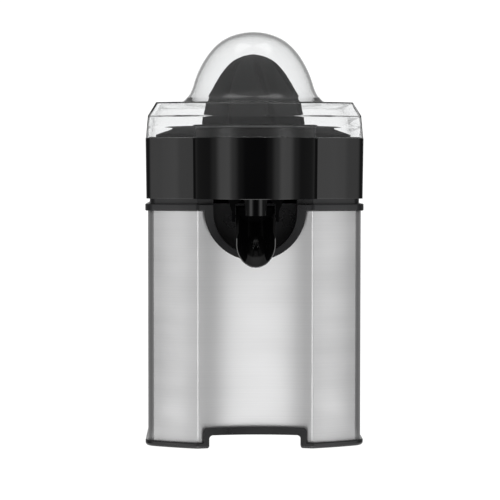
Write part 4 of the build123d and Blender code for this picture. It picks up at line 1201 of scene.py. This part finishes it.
@dataclass
class Studio:
    """A lit white plinth, white behind the object, and an even tent over side walls and soft lights.

    Walls are radiances by bearing from the front. All angles are in degrees.
    """

    plinth_x: float = 0.098
    plinth_y: Pair = (-0.0745, 0.112)
    plinth_glow: float = 1.05
    plinth_tones: Pair = (0.02, 0.03)
    plinth_mottle: Triple = (3.0, 3.0, 3.0)
    plinth_rough: float = 0.9
    tent: float = 0.34
    tent_foot: Pair = (4.0, 10.0)
    walls: tuple[Pair, ...] = (
        (0.0, 0.005),
        (15.0, 0.01),
        (25.0, 0.1),
        (37.0, 0.6),
        (46.0, 1.25),
        (58.0, 1.15),
        (72.0, 0.3),
        (84.0, 0.1),
        (108.0, 0.1),
        (126.0, 0.25),
        (180.0, 0.25),
    )
    lights: tuple[SoftLight, ...] = (
        SoftLight(3.4, 0.0, (20.0, 33.0), (-12.0, -24.0)),
        SoftLight(0.7, 55.0, (10.0, 17.0), (-6.0, -14.0)),
        SoftLight(0.2, 0.0, (180.0, 200.0), (50.0, 85.0)),
        SoftLight(0.8, 107.0, (22.0, 45.0), (60.0, 68.0)),
    )
    backdrop: float = 1.1
    backdrop_edge: Pair = (13.5, 19.0)

    def build(self) -> None:
        """Sets up the surround and the plinth."""
        bpy.context.scene.view_settings.view_transform = "Standard"
        self.surround()
        self.plinth()

    def surround(self) -> None:
        """The tent over its walls, the soft lights and the white backdrop."""
        world = bpy.data.worlds.new("surround")
        bpy.context.scene.world = world
        world.use_nodes = True
        tree = world.node_tree
        background = next(node for node in tree.nodes if node.type == "BACKGROUND")
        direction = tree.nodes.new("ShaderNodeTexCoord")
        axes = tree.nodes.new("ShaderNodeSeparateXYZ")
        tree.links.new(direction.outputs["Generated"], axes.inputs["Vector"])

        def math(operation: str, *sources: bpy.types.NodeSocket | float) -> bpy.types.NodeSocket:
            """Adds a sum node fed by sockets or plain numbers."""
            made = tree.nodes.new("ShaderNodeMath")
            made.operation = operation
            for socket, source in zip(made.inputs, sources):
                if isinstance(source, float):
                    socket.default_value = source
                else:
                    tree.links.new(source, socket)
            return made.outputs["Value"]

        def gate(source: bpy.types.NodeSocket, start: float, end: float) -> bpy.types.NodeSocket:
            """Adds a soft switch that opens from start to end."""
            made = tree.nodes.new("ShaderNodeMapRange")
            made.interpolation_type = "SMOOTHSTEP"
            made.inputs["From Min"].default_value = start
            made.inputs["From Max"].default_value = end
            tree.links.new(source, made.inputs["Value"])
            return made.outputs["Result"]

        front = math("MULTIPLY", axes.outputs["Y"], -1.0)
        turn = math("DIVIDE", math("ABSOLUTE", math("ARCTAN2", axes.outputs["X"], front)), pi)
        ramp = tree.nodes.new("ShaderNodeValToRGB")
        ramp.color_ramp.interpolation = "EASE"
        elements = ramp.color_ramp.elements
        while len(elements) < len(self.walls):
            elements.new(0.5)
        for element, (degrees_round, level) in zip(elements, self.walls):
            element.position = degrees_round / 180.0
            element.color = (level, level, level, 1.0)
        tree.links.new(turn, ramp.inputs["Fac"])
        height = axes.outputs["Z"]

        def panel(light: SoftLight) -> bpy.types.NodeSocket:
            """Adds a soft light."""
            away = math("ABSOLUTE", math("SUBTRACT", turn, light.bearing / 180.0))
            aside = gate(away, light.widths[1] / 180.0, light.widths[0] / 180.0)
            beyond = gate(height, *(sin(radians(angle)) for angle in light.heights))
            return math("MULTIPLY", math("MULTIPLY", aside, beyond), light.radiance)

        low = gate(height, sin(radians(self.tent_foot[1])), sin(radians(self.tent_foot[0])))
        walls = math("MULTIPLY", low, math("SUBTRACT", ramp.outputs["Color"], self.tent))
        tent = math("ADD", walls, self.tent)
        for light in self.lights:
            tent = math("ADD", tent, panel(light))
        inner, outer = self.backdrop_edge
        behind = gate(axes.outputs["Y"], cos(radians(outer)), cos(radians(inner)))
        rest = math("MULTIPLY", tent, math("SUBTRACT", 1.0, behind))
        total = math("ADD", rest, math("MULTIPLY", behind, self.backdrop))
        tree.links.new(total, background.inputs["Strength"])
        background.inputs["Color"].default_value = (1.0, 1.0, 1.0, 1.0)

    def plinth(self) -> None:
        """A white plate under the object that glows evenly, so that nothing throws a shadow on it."""
        mesh = bpy.data.meshes.new("plinth")
        near, far = self.plinth_y
        rim = [(-self.plinth_x, near), (self.plinth_x, near), (self.plinth_x, far), (-self.plinth_x, far)]
        mesh.from_pydata([(x, y, 0.0) for x, y in rim], [], [(0, 1, 2, 3)])
        graph = Graph("plinth_glow")
        graph.paint(graph.noise(self.plinth_mottle), (1.0, 1.0, 1.0), self.plinth_tones)
        graph.set(Roughness=self.plinth_rough)
        graph.set(Emission_Color=(1.0, 1.0, 1.0, 1.0), Emission_Strength=self.plinth_glow)
        mesh.materials.append(graph.material)
        plate = bpy.data.objects.new("plinth", mesh)
        bpy.context.scene.collection.objects.link(plate)


@dataclass
class Viewpoint:
    """The camera at the photograph's viewing angle."""

    place: Triple = (-0.0387, -1.6, 0.2275)
    pitch: float = 2.484
    yaw: float = 1.291
    roll: float = -0.051
    lens: float = 137.58
    sensor: float = 36.0
    clip_end: float = 100.0

    def build(self) -> None:
        """Makes the camera and gives it to the scene."""
        data = bpy.data.cameras.new("camera")
        data.sensor_width = self.sensor
        data.lens = self.lens
        data.clip_end = self.clip_end
        camera = bpy.data.objects.new("camera", data)
        camera.location = self.place
        camera.rotation_euler = Euler((radians(90 - self.pitch), radians(self.roll), radians(-self.yaw)))
        bpy.context.scene.collection.objects.link(camera)
        bpy.context.scene.camera = camera


def main() -> None:
    """Dresses the juicer and sets the studio and camera."""
    logging.basicConfig(level=logging.INFO, format="%(name)s: %(message)s")
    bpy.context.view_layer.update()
    finishes = Finishes()
    for group in CAD_GROUPS:
        group.dress(finishes)
    for piece in (DustCover(), JuiceBowl(), DripSpout(), Reamer(), ReturnSpring()):
        piece.build(finishes)
    Studio().build()
    Viewpoint().build()


if __name__ == "__main__":
    main()
